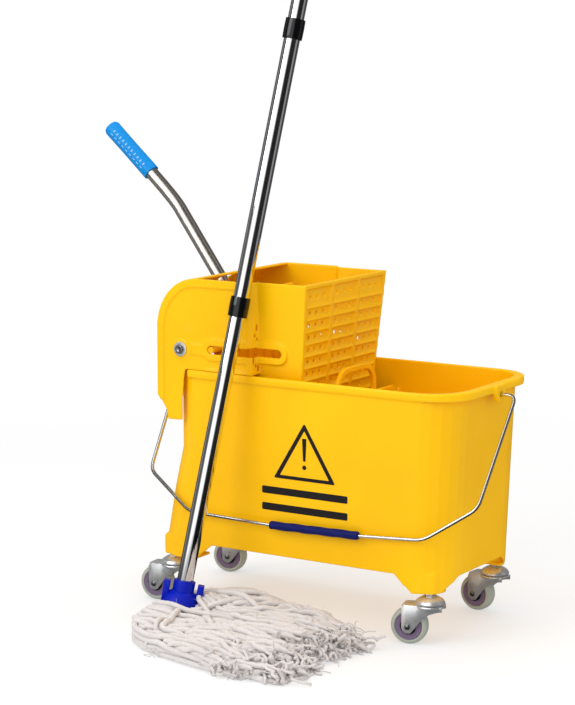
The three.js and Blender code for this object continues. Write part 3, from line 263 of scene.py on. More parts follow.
# painted highlight: a paler blue for the raised grip marks, standing in for their highlights
GRIP_PAINTED_HIGHLIGHT = plastic("grip_painted_highlight", (0.24, 0.52, 0.84), 0.4, 0.00001, 0.3)
GRIP_NAVY = plastic("grip_navy", (0.005, 0.009, 0.11), 0.42, 0.00005, 0.08, 0.12)
SOCKET_BLUE = plastic("socket_blue", (0.0, 0.01, 0.42), 0.36, 0.00005, 0.15)
BLACK = plastic("black", (0.003, 0.003, 0.004), 0.09, 0.00001, 0.03, 0.5)
TYRE = rubber("tyre", (0.37, 0.4, 0.33), 0.55)
WHEEL_HUB = plastic("wheel_hub", (0.17, 0.12, 0.2), 0.45, 0.00005, 0.2)
COTTON = cotton_yarn("cotton", (0.78, 0.735, 0.72))
PRINT = plastic("print", (0.012, 0.01, 0.01), 0.45, 0.00001, 0.1)


# ---------------------------------------------------------------- floor and studio
FLOOR_REACH = 14  # metres
SWEEP_START, SWEEP_END = 0.7, 1.6  # metres from the bucket
# what shiny pieces mirror: turns from the camera's side, from -1 to 1, and brightness there
STUDIO = [
    (-1.0, 0.25), (-0.7, 0.05), (-0.62, 0.35), (-0.56, 0.1), (-0.36, 0.12), (-0.28, 1.3), (-0.04, 1.25),
    (0.02, 0.1), (0.08, 0.015), (0.36, 0.02), (0.4, 0.3), (0.52, 0.25), (0.56, 0.03), (0.8, 0.1), (1.0, 0.25),
]
SOFT_WHITE = (0.8, 0.8, 0.8)
FLOOR_GLOW = 0.5  # the floor's own share of light under the object, which keeps its shadow pale
MIRROR_START, MIRROR_END, MIRROR_LOSS = 0.4, 1.5, 0.8  # how the mirrored floor darkens, by distance


def studio_colour(tree, direction):
    """White where the camera looks, bands of light and dark in shiny pieces, and soft light on the rest."""
    right = (math.cos(CAMERA_AZIMUTH), math.sin(CAMERA_AZIMUTH), 0)
    back = (math.sin(CAMERA_AZIMUTH), -math.cos(CAMERA_AZIMUTH), 0)
    parts = [
        add_node(tree, "VectorMath", {0: direction, 1: axis}, operation="DOT_PRODUCT").outputs["Value"]
        for axis in (right, back)
    ]
    turn = add_node(tree, "Math", {0: parts[0], 1: parts[1]}, operation="ARCTAN2").outputs[0]
    ramp = add_node(tree, "ValToRGB", {"Fac": spread(tree, turn, -math.pi, math.pi)})
    stops = ramp.color_ramp.elements
    while len(stops) < len(STUDIO):
        stops.new(0.5)
    for stop, (position, brightness) in zip(stops, STUDIO):
        stop.position = (position + 1) / 2
        stop.color = (brightness, brightness, brightness, 1)
    path = add_node(tree, "LightPath")
    lit = blended(tree, path.outputs["Is Glossy Ray"], SOFT_WHITE, ramp.outputs["Color"])
    return blended(tree, path.outputs["Is Camera Ray"], lit, (1.0, 1.0, 1.0))


def add_floor():
    mesh = bpy.data.meshes.new("floor")
    corners = [(x * FLOOR_REACH, y * FLOOR_REACH, 0) for x, y in ((-1, -1), (1, -1), (1, 1), (-1, 1))]
    mesh.from_pydata(corners, [], [(0, 1, 2, 3)])
    floor = bpy.data.objects.new("floor", mesh)
    bpy.context.scene.collection.objects.link(floor)
    material, tree, shader = new_material("floor", 0.7)
    place = object_place(tree)
    shade = spread(tree, noise(tree, place, 3, 3), 0.3, 0.7)
    tree.links.new(blended(tree, shade, (0.9, 0.9, 0.9), (0.92, 0.92, 0.92)), shader.inputs["Base Color"])
    # the sweep behind the object is lit on its own, so floor and wall meet in one white
    away = add_node(tree, "VectorMath", {0: place, 1: tuple(HOME)}, operation="SUBTRACT").outputs["Vector"]
    distance = add_node(tree, "VectorMath", {0: away}, operation="LENGTH").outputs["Value"]
    bearing = add_node(tree, "VectorMath", {0: place, 1: tuple(middle("mop_socket"))}, operation="SUBTRACT")
    # shiny pieces mirror a floor that darkens towards the object
    mirrored = add_node(tree, "LightPath").outputs["Is Glossy Ray"]
    loss = spread(tree, distance, MIRROR_START, MIRROR_END, MIRROR_LOSS, 0)
    dimmed = add_node(tree, "Math", {0: loss, 1: mirrored}, operation="MULTIPLY").outputs[0]
    strength = add_node(tree, "Math", {0: 1.0, 1: dimmed}, operation="SUBTRACT").outputs[0]
    colour = studio_colour(tree, bearing.outputs["Vector"])
    lit = add_node(tree, "Emission", {"Color": colour, "Strength": strength})
    glow = spread(tree, distance, SWEEP_START, SWEEP_END, FLOOR_GLOW, 1)
    share = add_node(tree, "Math", {0: glow, 1: mirrored}, operation="MAXIMUM").outputs[0]
    both = add_node(tree, "MixShader", {"Fac": share})
    tree.links.new(shader.outputs[0], both.inputs[1])
    tree.links.new(lit.outputs[0], both.inputs[2])
    tree.links.new(both.outputs[0], tree.nodes["Material Output"].inputs["Surface"])
    mesh.materials.append(material)


def add_light(name, place, size, power, reflected=True):
    aim = at(0, 0, 300)
    data = bpy.data.lights.new(name, "AREA")
    data.shape = "RECTANGLE"
    data.size, data.size_y = size
    data.energy = power
    light = bpy.data.objects.new(name, data)
    light.location = place
    light.visible_glossy = reflected
    light.rotation_euler = (aim - place).to_track_quat("-Z", "Y").to_euler()
    bpy.context.scene.collection.objects.link(light)


def add_studio():
    world = bpy.data.worlds.new("studio")
    world.use_nodes = True
    tree = world.node_tree
    direction = add_node(tree, "TexCoord").outputs["Generated"]
    background = tree.nodes["Background"]
    tree.links.new(studio_colour(tree, direction), background.inputs["Color"])
    background.inputs["Strength"].default_value = 1.0
    bpy.context.scene.world = world
    bpy.context.scene.view_settings.view_transform = "Standard"
    add_light("key", at(-1100, -2600, 1900), (1.8, 1.8), 33)
    add_light("fill", at(1700, -2000, 1500), (1.6, 1.8), 11, reflected=False)
    add_light("top", at(0, 0, 2600), (2.4, 2.4), 24, reflected=False)


# ---------------------------------------------------------------- mesh tools, in millimetres
def to_mesh(vertices, faces):
    mesh = bpy.data.meshes.new("piece")
    mesh.from_pydata([tuple(v) for v in vertices], [], faces)
    return mesh


def edited(mesh, *steps):
    """Runs bmesh steps on a mesh and turns its faces outwards."""
    work = bmesh.new()
    work.from_mesh(mesh)
    for step in steps:
        step(work)
    bmesh.ops.recalc_face_normals(work, faces=work.faces)
    work.to_mesh(mesh)
    work.free()
    return mesh


def joined(*meshes):
    """Several meshes as one, each keeping its own surface."""
    work = bmesh.new()
    for mesh in meshes:
        work.from_mesh(mesh)
    whole = bpy.data.meshes.new("piece")
    work.to_mesh(whole)
    work.free()
    return whole


EASED_SHARE = 0.48  # of an edge's length, which one rounded corner may take


def eased(points, radius, steps=4, closed=False):
    """A line, or a closed outline, with its corners rounded by short arcs."""
    points = [Vector(p) for p in points]
    soft = []
    for i, corner in enumerate(points):
        if not closed and i in (0, len(points) - 1):
            soft.append(corner)
            continue
        before = points[i - 1] - corner
        after = points[(i + 1) % len(points)] - corner
        reach = min(radius, before.length * EASED_SHARE, after.length * EASED_SHARE)
        start = corner + before.normalized() * reach
        end = corner + after.normalized() * reach
        for k in range(steps + 1):
            t = k / steps
            soft.append(start * (1 - t) ** 2 + corner * 2 * t * (1 - t) + end * t**2)
    return soft


def soft_outline(points, radius, steps=4):
    """A closed outline with rounded corners, as plain pairs."""
    return [tuple(p) for p in eased(points, radius, steps, closed=True)]


def ring_of(radius, count, centre):
    """Evenly spaced points round a circle."""
    turns = [2 * math.pi * i / count for i in range(count)]
    return [(centre[0] + radius * math.cos(a), centre[1] + radius * math.sin(a)) for a in turns]


def flat_sided(radius, corners, angle):
    """The distance to the edge of a regular polygon whose corners lie at radius."""
    part = 2 * math.pi / corners
    return radius * math.cos(part / 2) / math.cos(angle % part - part / 2)


def turned(profile, sides=48, rounding=0.4, corners=0):
    """A mesh turned about Z from (radius, height) points, closed where it doesn't end on the axis."""
    closed = profile[0][0] > 0
    points = eased(profile, rounding, 3, closed) if rounding else [Vector(p) for p in profile]
    vertices, rings = [], []
    for point in points:
        count = sides if point.x > 1e-6 else 1
        rings.append((len(vertices), count))
        for i in range(count):
            angle = 2 * math.pi * i / sides
            radius = flat_sided(point.x, corners, angle) if corners else point.x
            vertices.append((radius * math.cos(angle), radius * math.sin(angle), point.y))
    pairs = list(zip(rings, rings[1:]))
    if closed:
        pairs.append((rings[-1], rings[0]))
    faces = []
    for (first, first_count), (second, second_count) in pairs:
        for i in range(sides if first_count + second_count > 2 else 0):
            j = (i + 1) % sides
            lower = (first + i % first_count, first + j % first_count)
            upper = (second + j % second_count, second + i % second_count)
            faces.append(tuple(dict.fromkeys(lower + upper)))
    return edited(to_mesh(vertices, faces))


def slab(outline, low, high, bevel=0.5, steps=2):
    """An outline in X and Y, as thick as low to high, with its edges rounded."""
    mesh = to_mesh([(x, y, low) for x, y in outline], [tuple(range(len(outline)))])

    def thicken(work):
        grown = bmesh.ops.extrude_face_region(work, geom=work.faces[:])["geom"]
        moved = [v for v in grown if isinstance(v, bmesh.types.BMVert)]
        bmesh.ops.translate(work, verts=moved, vec=(0, 0, high - low))

    def soften(work):
        edges = [e for e in work.edges if len(e.link_faces) == 2 and e.calc_face_angle() > math.radians(40)]
        bmesh.ops.bevel(work, geom=edges, offset=bevel, segments=steps, profile=0.5, affect="EDGES")

    return edited(mesh, thicken, *([soften] if bevel else []))


def block(size, bevel):
    """A rounded block about the origin."""
    x, y, z = (s / 2 for s in size)
    return slab([(-x, -y), (x, -y), (x, y), (-x, y)], -z, z, bevel)


def placed(mesh, matrix):
    mesh.transform(matrix)
    if matrix.determinant() < 0:
        mesh.flip_normals()
    return mesh


def across_frames(lines):
    """For lines of points (line, point, xyz), two unit vectors across each point that never twist."""
    ahead = np.gradient(lines, axis=1)
    ahead /= np.linalg.norm(ahead, axis=2, keepdims=True)
    first = np.zeros_like(lines)
    pick = np.zeros((len(lines), 3))
    pick[np.arange(len(lines)), np.argmin(np.abs(ahead[:, 0]), axis=1)] = 1
    side = pick
    for i in range(lines.shape[1]):
        side = side - (side * ahead[:, i]).sum(1, keepdims=True) * ahead[:, i]
        side /= np.linalg.norm(side, axis=1, keepdims=True)
        first[:, i] = side
    return first, np.cross(ahead, first)


def tubes(lines, radius, sides):
    """Closed tubes along lines; radius is a number or an array (line, point, side)."""
    lines = np.asarray(lines, float)
    many, count, _ = lines.shape
    first, second = across_frames(lines)
    angle = np.arange(sides) * 2 * math.pi / sides
    radius = np.broadcast_to(radius, (many, count, sides))[..., None]
    ring = first[:, :, None] * np.cos(angle)[:, None] + second[:, :, None] * np.sin(angle)[:, None]
    vertices = (lines[:, :, None] + ring * radius).reshape(-1, 3)
    number = np.arange(many * count * sides).reshape(many, count, sides)
    beside = np.roll(number, -1, axis=2)
    corners = [number[:, :-1], beside[:, :-1], beside[:, 1:], number[:, 1:]]
    quads = np.stack(corners, axis=-1).reshape(-1, 4)
    caps = [*number[:, 0, ::-1].tolist(), *number[:, -1].tolist()]
    return to_mesh(vertices.tolist(), [*quads.tolist(), *caps])


def resampled(points, spacing):
    """Points at even steps along a line."""
    points = np.array([tuple(p) for p in points], float)
    steps = np.concatenate([[0], np.cumsum(np.linalg.norm(np.diff(points, axis=0), axis=1))])
    want = np.linspace(0, steps[-1], max(2, int(steps[-1] / spacing) + 1))
    return np.stack([np.interp(want, steps, points[:, axis]) for axis in range(3)], axis=1)


def add_piece(name, mesh, body, slot, material, *nodes, matrix=None, smooth=32):
    """Puts a finished mesh in the scene on its body, in place of CAD nodes."""
    if matrix is not None:
        placed(mesh, matrix)
    mesh.name = name
    mesh.materials.clear()
    mesh.materials.append(material)
    mesh.shade_smooth()
    mesh.set_sharp_from_angle(angle=math.radians(smooth))
    piece = bpy.data.objects.new(name, mesh)
    bpy.context.scene.collection.objects.link(piece)
    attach(piece, body)
    if nodes:
        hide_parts(*nodes)
    return piece


def map_fibres(mesh, lines, sides):
    """A UV map on tubes: millimetres along each one, and turns round it."""
    travelled = np.cumsum(np.linalg.norm(np.diff(lines, axis=1, prepend=lines[:, :1]), axis=2), axis=1)
    start, end = travelled[:, :-1, None], travelled[:, 1:, None]
    round_start = np.arange(sides) / sides
    round_end = (np.arange(sides) + 1) / sides
    shape = (len(lines), lines.shape[1] - 1, sides)
    corners = [(start, round_start), (start, round_end), (end, round_end), (end, round_start)]
    places = np.stack([np.stack(np.broadcast_arrays(u, v, np.empty(shape))[:2], -1) for u, v in corners], -2)
    layer = mesh.uv_layers.new(name="fibres")
    flat = np.zeros((len(mesh.loops), 2))
    flat[: places.size // 2] = places.reshape(-1, 2)
    layer.data.foreach_set("uv", flat.ravel())
    return mesh


# ---------------------------------------------------------------- moulded pieces
# CAD moulding: its material, and the size of the cells that round its edges
MOULDINGS = {
    "bucket_body": (TUB_YELLOW, 1.7),
    "wringer_body": (WRINGER_YELLOW, 1.3),
    "dirt_baffle": (BAFFLE_YELLOW, 1.1),
    "press_plate": (PRESS_YELLOW, 1.0),
    "lever_yoke": (PRESS_YELLOW, 1.0),
}
KEPT_SHARE = 0.2


def add_mouldings():
    """Rounds every edge of the CAD mouldings, inside and out, as a steel mould leaves them."""
    for node, (material, cell) in MOULDINGS.items():
        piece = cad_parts[node]
        piece.data.materials.clear()
        piece.data.materials.append(material)
        weld = piece.modifiers.new("weld", "WELD")
        weld.merge_threshold = 0.01 * MM
        remesh = piece.modifiers.new("cells", "REMESH")
        remesh.mode = "VOXEL"
        remesh.voxel_size = cell * MM
        remesh.use_smooth_shade = True
        relax = piece.modifiers.new("relax", "SMOOTH")
        relax.factor = 0.5
        relax.iterations = 4
        thin = piece.modifiers.new("thin", "DECIMATE")
        thin.ratio = KEPT_SHARE


# ---------------------------------------------------------------- label on the front wall
LABEL_SUNK, LABEL_PROUD = 0.05, 0.35
TRIANGLE_LEFT, TRIANGLE_RIGHT, TRIANGLE_LOW, TRIANGLE_HIGH, TRIANGLE_LINE = -24, 73, 204, 283, 4.7
TRIANGLE_MIDDLE = (TRIANGLE_LEFT + TRIANGLE_RIGHT) / 2
BAR_LEFT, BAR_RIGHT, BARS = -43, 92, ((181, 191), (158, 168))
# front wall: height, distance from the bucket's middle
FRONT_WALL = ((71, 116.5), (166, 117), (225, 117.2), (340, 117.6))


def on_front_wall(mesh):
    """Bends a flat print drawn in (along, height, proud) on to the front wall."""
    heights, reach = zip(*FRONT_WALL)
    for vertex in mesh.vertices:
        x, z, proud = vertex.co
        vertex.co = (x, -np.interp(z, heights, reach) - proud, z)
    return mesh


def printed(outline):
    return slab(outline, LABEL_SUNK, LABEL_PROUD, 0)


def triangle_frame():
    """The triangle's outline, as a closed ring between an outer and an inner edge."""
    outer = [(TRIANGLE_LEFT, TRIANGLE_LOW), (TRIANGLE_RIGHT, TRIANGLE_LOW), (TRIANGLE_MIDDLE, TRIANGLE_HIGH)]
    aside, up, down = TRIANGLE_LINE * 2.05, TRIANGLE_LINE, TRIANGLE_LINE * 2.2
    inner = [
        (TRIANGLE_LEFT + aside, TRIANGLE_LOW + up), (TRIANGLE_RIGHT - aside, TRIANGLE_LOW + up),
        (TRIANGLE_MIDDLE, TRIANGLE_HIGH - down),
    ]
    rings = [soft_outline(outer, 3.5), soft_outline(inner, 1.2)]
    count = len(rings[0])
    vertices = [(*p, h) for h in (LABEL_SUNK, LABEL_PROUD) for ring in rings for p in ring]
    faces = []
    for i in range(count):
        j = (i + 1) % count
        top, under, inside = 2 * count, 0, count
        faces += [
            (top + i, top + j, top + inside + j, top + inside + i),
            (under + i, under + inside + i, under + inside + j, under + j),
            (under + i, under + j, top + j, top + i),
            (under + inside + j, under + inside + i, top + inside + i, top + inside + j),
        ]
    return edited(to_mesh(vertices, faces))


def add_label():
    """A plain caution triangle with an exclamation mark, and two plain bars under it."""
    centre = TRIANGLE_MIDDLE
    stroke = [(centre - 3.4, 262), (centre + 3.4, 262), (centre + 1.9, 231), (centre - 1.9, 231)]
    dot = ring_of(3.1, 24, (centre, 222.5))
    prints = [triangle_frame(), printed(soft_outline(stroke, 1.2, 3)), printed(dot)]
    for low, high in BARS:
        bar = [(BAR_LEFT, low), (BAR_RIGHT, low), (BAR_RIGHT, high), (BAR_LEFT, high)]
        prints.append(printed(soft_outline(bar, 2)))
    label = on_front_wall(joined(*prints))
    add_piece("label", edited(label), "tub", "black", PRINT, matrix=DRAWING)


# ---------------------------------------------------------------- wringer pivots and springs
PIVOT = (-175, 0, 368)


def add_pivots():
    for end, side in SIDES.items():
        out = along(at(*PIVOT), (0, side, 0))
        shaft = [(0, 92), (4, 92), (4, 122.2), (6.6, 122.2), (6.6, 123.6), (5.4, 125), (3.2, 125), (0, 123.4)]
        add_piece(f"bolt_{end}", turned(shaft), "tub", "steel", STEEL, f"pivot_bolt_{end}", matrix=out)
        washer = [(4.3, 120.3), (10.2, 120.3), (10.2, 121.9), (4.3, 121.9)]
        washer_mesh = turned(washer, 64)
        add_piece(f"washer_{end}", washer_mesh, "tub", "steel", ZINC, f"pivot_washer_{end}", matrix=out)
        nut = [(4.3, 94), (7.2, 94), (7.2, 99.4), (4.3, 99.4)]
        add_piece(f"nut_{end}", turned(nut, 48, 0.6, 6), "tub", "zinc", ZINC, f"pivot_nut_{end}", matrix=out)
        wound = spring(side)
        add_piece(f"spring_{end}", wound, "tub", "steel", STEEL, f"return_spring_{end}", matrix=DRAWING)


def spring(side):
    """A torsion spring of two turns round the pivot, with a straight leg at each end."""
    radius, turns, wire = 8.6, 2, 0.9
    points = [(PIVOT[0] - radius, side * 108, PIVOT[2] - 18)]
    steps = 32 * turns
    for i in range(steps + 1):
        angle = math.pi - 2 * math.pi * i * turns / steps
        y = side * (108 + 5.5 * i / steps)
        points.append((PIVOT[0] + radius * math.cos(angle), y, PIVOT[2] + radius * math.sin(angle)))
    points.append((PIVOT[0] - radius, side * 113.8, PIVOT[2] + 18))
    return tubes([resampled(points, 0.8)], wire, 10)


def add_guide_rod():
    profile = [(0, -121.2), (4.5, -121.2), (4.5, 121.2), (0, 121.2)]
    rod = turned(profile, 40, 0.8)
    across = along(middle("guide_rod"), (0, 1, 0))
    add_piece("rod", rod, "press", "press_yellow", PRESS_YELLOW, "guide_rod", matrix=across)


# ---------------------------------------------------------------- lever
LEVER_FOOT = Vector((-150, 0, 400.3))
LEVER_KNEE_LOW = Vector((-258.5, 0, 549.9))
LEVER_KNEE_HIGH = Vector((-309, 0, 599.5))
LEVER_TIP = Vector((-380.8, 0, 663.6))
LEVER_TUBE = 9.5
LEVER_GRIP = 12.1
# rows of marks along the grip: degrees round it from the front, one mark's size, marks in the row
GRIP_ROWS = [
    (-4, (1.4, 1.4, 5.0), 9), (26, (1.4, 4.0, 2.2), 11),
    (184, (1.4, 1.4, 5.0), 9), (154, (1.4, 4.0, 2.2), 11),
]


def lever_corner():
    """Where the lever's two straight legs would meet."""
    low = (LEVER_KNEE_LOW - LEVER_FOOT).normalized()
    high = (LEVER_KNEE_HIGH - LEVER_TIP).normalized()
    gap = LEVER_KNEE_HIGH - LEVER_KNEE_LOW
    reach = (gap.x * high.z - gap.z * high.x) / (low.x * high.z - low.z * high.x)
    return LEVER_KNEE_LOW + low * reach


def add_lever():
    corner = lever_corner()
    bend = [LEVER_KNEE_LOW * (1 - t) ** 2 + corner * 2 * t * (1 - t) + LEVER_KNEE_HIGH * t**2
            for t in np.linspace(0, 1, 24)]
    end = LEVER_KNEE_HIGH.lerp(LEVER_TIP, 0.94)
    line = resampled([LEVER_FOOT, *bend, end], 4)
    tube = tubes([line], LEVER_TUBE, 40)
    add_piece("tube", tube, "lever", "chrome", LEVER_CHROME, "lever_tube", matrix=DRAWING)
    screw_at = LEVER_FOOT.lerp(LEVER_KNEE_LOW, 0.075)
    head = [(0, -16.2), (3.2, -16.2), (4.6, -14.8), (4.6, -13.7), (2.5, -13.7), (2.5, 13.7), (0, 13.7)]
    nut = turned([(0, 13.7), (4.8, 13.7), (4.8, 16.2), (0, 16.2)], 36, 0.5, 6)
    screw = joined(turned(head, 32), nut)
    across = along(DRAWING @ screw_at, (0, 1, 0))
    add_piece("screw", screw, "lever", "zinc", ZINC, "lever_screw", matrix=across)
    add_lever_grip()


def add_lever_grip():
    """A closed rubber sleeve with rows of short raised marks along it, the marks painted a paler blue as
    highlights.
    """
    start = LEVER_KNEE_HIGH.lerp(LEVER_TIP, -0.02)
    length = (LEVER_TIP - start).length
    sleeve = [
        (0, 2), (9.7, 2), (LEVER_GRIP - 0.4, 0), (LEVER_GRIP, 1.5), (LEVER_GRIP - 0.3, length / 2),
        (LEVER_GRIP, length - 5), (LEVER_GRIP - 1.6, length - 1.6), (LEVER_GRIP - 6, length), (0, length),
    ]
    body = turned(sleeve, 64, 1.0)
    marks = []
    for around, size, count in GRIP_ROWS:
        turn = Matrix.Rotation(math.radians(around), 4, "Z")
        for height in np.linspace(14, length - 16, count):
            mark = block(size, 0.35)
            marks.append(placed(mark, turn @ Matrix.Translation((LEVER_GRIP - 0.2, 0, height))))
    matrix = along(DRAWING @ start, LEVER_TIP - start)
    add_piece("grip", body, "lever", "grip_blue", GRIP_BLUE, "lever_grip", matrix=matrix)
    # the raised marks take the paler blue, a painted highlight
    add_piece("grip_marks", joined(*marks), "lever", "grip_blue", GRIP_PAINTED_HIGHLIGHT, matrix=matrix)


# ---------------------------------------------------------------- bail
BAIL_PIVOT_Z = 327
BAIL_ANGLE = math.radians(34.2)
# in the bail's own plane: along the bucket, distance from the pivots
BAIL_PATH = (
    (246, 0), (280, 0), (273, 164), (209, 217), (115, 223.5),
    (-24, 226.3), (-158, 223.5), (-245, 170), (-257, 0), (-226, 0),
)


def on_bail(x, reach):
    return Vector((x, -reach * math.sin(BAIL_ANGLE), BAIL_PIVOT_Z - reach * math.cos(BAIL_ANGLE)))


def add_bail():
    path = [on_bail(*point) for point in BAIL_PATH]
    line = resampled(eased(path, 12, 8), 2.5)
    add_piece("bail", tubes([line], 2.5, 16), "bail", "wire", WIRE, "bail_wire", matrix=DRAWING)
    right, left = path[4], path[5]
    length = (left - right).length
    share = np.linspace(0, 1, 120)
    spine = np.outer(1 - share, right) + np.outer(share, left)
    angle = np.arange(32) * 2 * math.pi / 32
    wave = 5.7 + 0.28 * np.sin(3 * angle[None] + share[:, None] * length / 34 * 2 * math.pi)
    ends = np.clip(np.minimum(share, 1 - share) * length / 3, 0, 1)
    wave = wave * (0.55 + 0.45 * np.sqrt(1 - (1 - ends) ** 2))[:, None]
    grip = tubes([spine], wave[None], 32)
    add_piece("bail_sleeve", grip, "bail_roller", "grip_navy", GRIP_NAVY, "bail_grip", matrix=DRAWING)


# ---------------------------------------------------------------- casters
TRAIL = 27.6
AXLE_Z = 25
LEG_INNER = 11.2
LEG_OUTER = 13.5
LEG_FOLD = -17
LEG_TOE = 8.2


def caster_matrix(corner):
    """The caster's own frame: Z up its stem, X away from its wheel."""
    stem, wheel = middle(f"caster_stem_{corner}"), middle(f"wheel_tyre_{corner}")
    away = Vector((stem.x - wheel.x, stem.y - wheel.y, 0)).normalized()
    up = Vector((0, 0, 1))
    turn = Matrix((away, up.cross(away), up)).transposed().to_4x4()
    return Matrix.Translation((stem.x, stem.y, 0)) @ turn @ Matrix.Scale(MM, 4)


def stem_mesh():
    """Kingpin with the domed upper race and the nut that holds it."""
    profile = [
        (0, 47.6), (7.5, 47.6), (7.5, 50.2), (5, 50.2), (5, 55.6), (18.4, 55.6), (20, 56.6), (19.8, 58.6),
        (18, 61.4), (13, 64.8), (9, 66.2), (4.8, 66.2), (4.8, 92), (0, 92),
    ]
    nut = [(4.8, 66.3), (8.2, 66.3), (8.2, 70.4), (4.8, 70.4)]
    return joined(turned(profile, 64, 0.7), turned(nut, 48, 0.7, 6))


def fork_leg(side):
    """A pressed leg: straight down behind, slanting up to the race in front, folded in between."""
    turns = np.linspace(math.pi, 1.8 * math.pi, 12)
    toe = [(LEG_TOE * math.cos(a) - TRAIL, LEG_TOE * math.sin(a) + AXLE_Z - 1) for a in turns]
    outline = [(-36, 51), *toe, (-9, 35), (2, 43.6), (12, 47), (18.5, 48), (18.5, 54.6), (-30, 54.6)]
    leg = slab(outline, LEG_INNER, LEG_OUTER, 0.45)

    def fold(work):
        geometry = work.verts[:] + work.edges[:] + work.faces[:]
        bmesh.ops.bisect_plane(work, geom=geometry, plane_co=(LEG_FOLD, 0, 0), plane_no=(1, 0, 0))
        for vertex in work.verts:
            vertex.co.z -= max(0.0, vertex.co.x - LEG_FOLD) * 0.05

    edited(leg, fold)
    across = Matrix(((1, 0, 0, 0), (0, 0, side, 0), (0, 1, 0, 0), (0, 0, 0, 1)))
    return placed(leg, across)


def fork_mesh():
    race = turned([(5.3, 51), (17.6, 51), (19.6, 51.8), (20, 53.4), (19.2, 55), (5.3, 55)], 64, 0.5)
    back = [(-36, -12.6), (-36, 12.6), (-8, 13.4), (8, 13.4), (8, -13.4), (-8, -13.4)]
    crown = slab(soft_outline(back, 3), 52.2, 54.6, 0.5)
    return joined(race, crown, fork_leg(-1), fork_leg(1))


def axle_mesh():
    out = LEG_OUTER + 0.3
    half = [(3.9, out), (3.7, out + 1.2), (2.4, out + 2.2), (0, out + 2.6)]
    return turned([(0, -out - 2.6), *[(r, -h) for r, h in half[-2::-1]], (3, -out), (3, out), *half], 40, 0.3)


def tyre_mesh():
    profile = [(18.6, -9.6), (22, -9.4), (24.2, -7), (25, -4), (25, 4), (24.2, 7), (22, 9.4), (18.6, 9.6)]
    return turned(profile, 72, 1.6)


def hub_mesh():
    profile = [
        (3.2, -10.6), (6, -10.6), (6.6, -8), (9.6, -7.6), (10.4, -8.6), (17, -9.2), (18.3, -9.6),
        (18.3, 9.6), (17, 9.2), (10.4, 8.6), (9.6, 7.6), (6.6, 8), (6, 10.6), (3.2, 10.6),
    ]
    return turned(profile, 64, 0.5)


def guard_mesh():
    """The two dark rings that keep threads off the axle."""
    ring = [(6.9, 7.9), (11.2, 8.9), (11.2, 9.6), (10.2, 10.3), (6.9, 10.3)]
    return joined(turned(ring, 56, 0.3), turned([(r, -h) for r, h in ring], 56, 0.3))


def add_casters():
    for corner in CORNERS:
        base = caster_matrix(corner)
        wheel = base @ Matrix.Translation((-TRAIL, 0, AXLE_Z)) @ Matrix.Rotation(math.radians(90), 4, "X")
        fork, spin = f"fork_{corner}", f"wheel_{corner}"
        pieces = [
            ("stem", stem_mesh(), "tub", "zinc", ZINC, ["caster_stem"], base),
            ("legs", fork_mesh(), fork, "zinc", ZINC, ["caster_fork"], base),
            ("axle", axle_mesh(), fork, "steel", STEEL, ["caster_axle"], wheel),
            ("hub", hub_mesh(), spin, "wheel_hub", WHEEL_HUB, ["wheel_hub"], wheel),
            ("guard", guard_mesh(), spin, "wheel_hub", BLACK, [], wheel),
            ("tyre", tyre_mesh(), spin, "tyre", TYRE, ["wheel_tyre"], wheel),
        ]
        for name, mesh, body, slot, material, nodes, matrix in pieces:
            nodes = [f"{node}_{corner}" for node in nodes]
            add_piece(f"{name}_{corner}", mesh, body, slot, material, *nodes, matrix=matrix)


# ---------------------------------------------------------------- mop handle and socket
POLE_RADIUS = 11
SECTION = 377
COUPLER_LENGTH = 27
POLE_IN_SOCKET = 24
LOW_JOINT, HIGH_JOINT = middle("coupler_lower"), middle("coupler_upper")
POLE_AXIS = (HIGH_JOINT - LOW_JOINT).normalized()
SOCKET_MOUTH = LOW_JOINT - POLE_AXIS * SECTION * MM
POLE = along(SOCKET_MOUTH, POLE_AXIS)


def add_handle():
    spans = {
        "lower": (-POLE_IN_SOCKET, SECTION - 0.15),
        "middle": (SECTION + 0.15, 2 * SECTION - 0.15),
        "upper": (2 * SECTION + 0.15, 3 * SECTION),
    }
    for name, (low, high) in spans.items():
        profile = [(0, low), (POLE_RADIUS, low), (POLE_RADIUS, high), (0, high)]
        pole = turned(profile, 72, 0.4)
        add_piece(f"handle_{name}", pole, "mop", "chrome", CHROME, f"pole_{name}", matrix=POLE)
    half = COUPLER_LENGTH / 2
    for name, centre in (("lower", SECTION), ("upper", 2 * SECTION)):
        profile = [(11.3, -half), (13.3, -half), (13.6, 0), (13.3, half), (11.3, half)]
        sleeve = turned([(r, h + centre) for r, h in profile], 72, 0.7)
        add_piece(f"joint_{name}", sleeve, "mop", "black", BLACK, f"coupler_{name}", matrix=POLE)
    add_cap()


def add_cap():
    """A cap with a loop to hang the mop by."""
    top = 3 * SECTION
    profile = [(0, 0.3), (11.3, 0.3), (11.3, -18), (13, -18), (13, 4), (9.5, 9), (0, 10)]
    cap = turned([(r, top + h) for r, h in profile], 64, 1.2)
    ring = [(x, 0, z) for x, z in ring_of(7.2, 48, (0, top + 19.5))]
    loop = tubes([ring + ring[:1]], 3.1, 16)
    add_piece("cap", joined(cap, loop), "mop", "black", BLACK, "pole_cap", matrix=POLE)


# the socket's skirt: height, outer radius, share of the scallops
SKIRT_RINGS = [
    (-15, 15, 0), (-17, 18.5, 0), (-24, 23, 0), (-31, 26, 0),
    (-38, 28.5, 0.2), (-45, 31, 0.7), (-50, 32.6, 1),
]
SKIRT_WALL = 2.2
SCALLOPS, SCALLOP_DEPTH = 12, 2.4


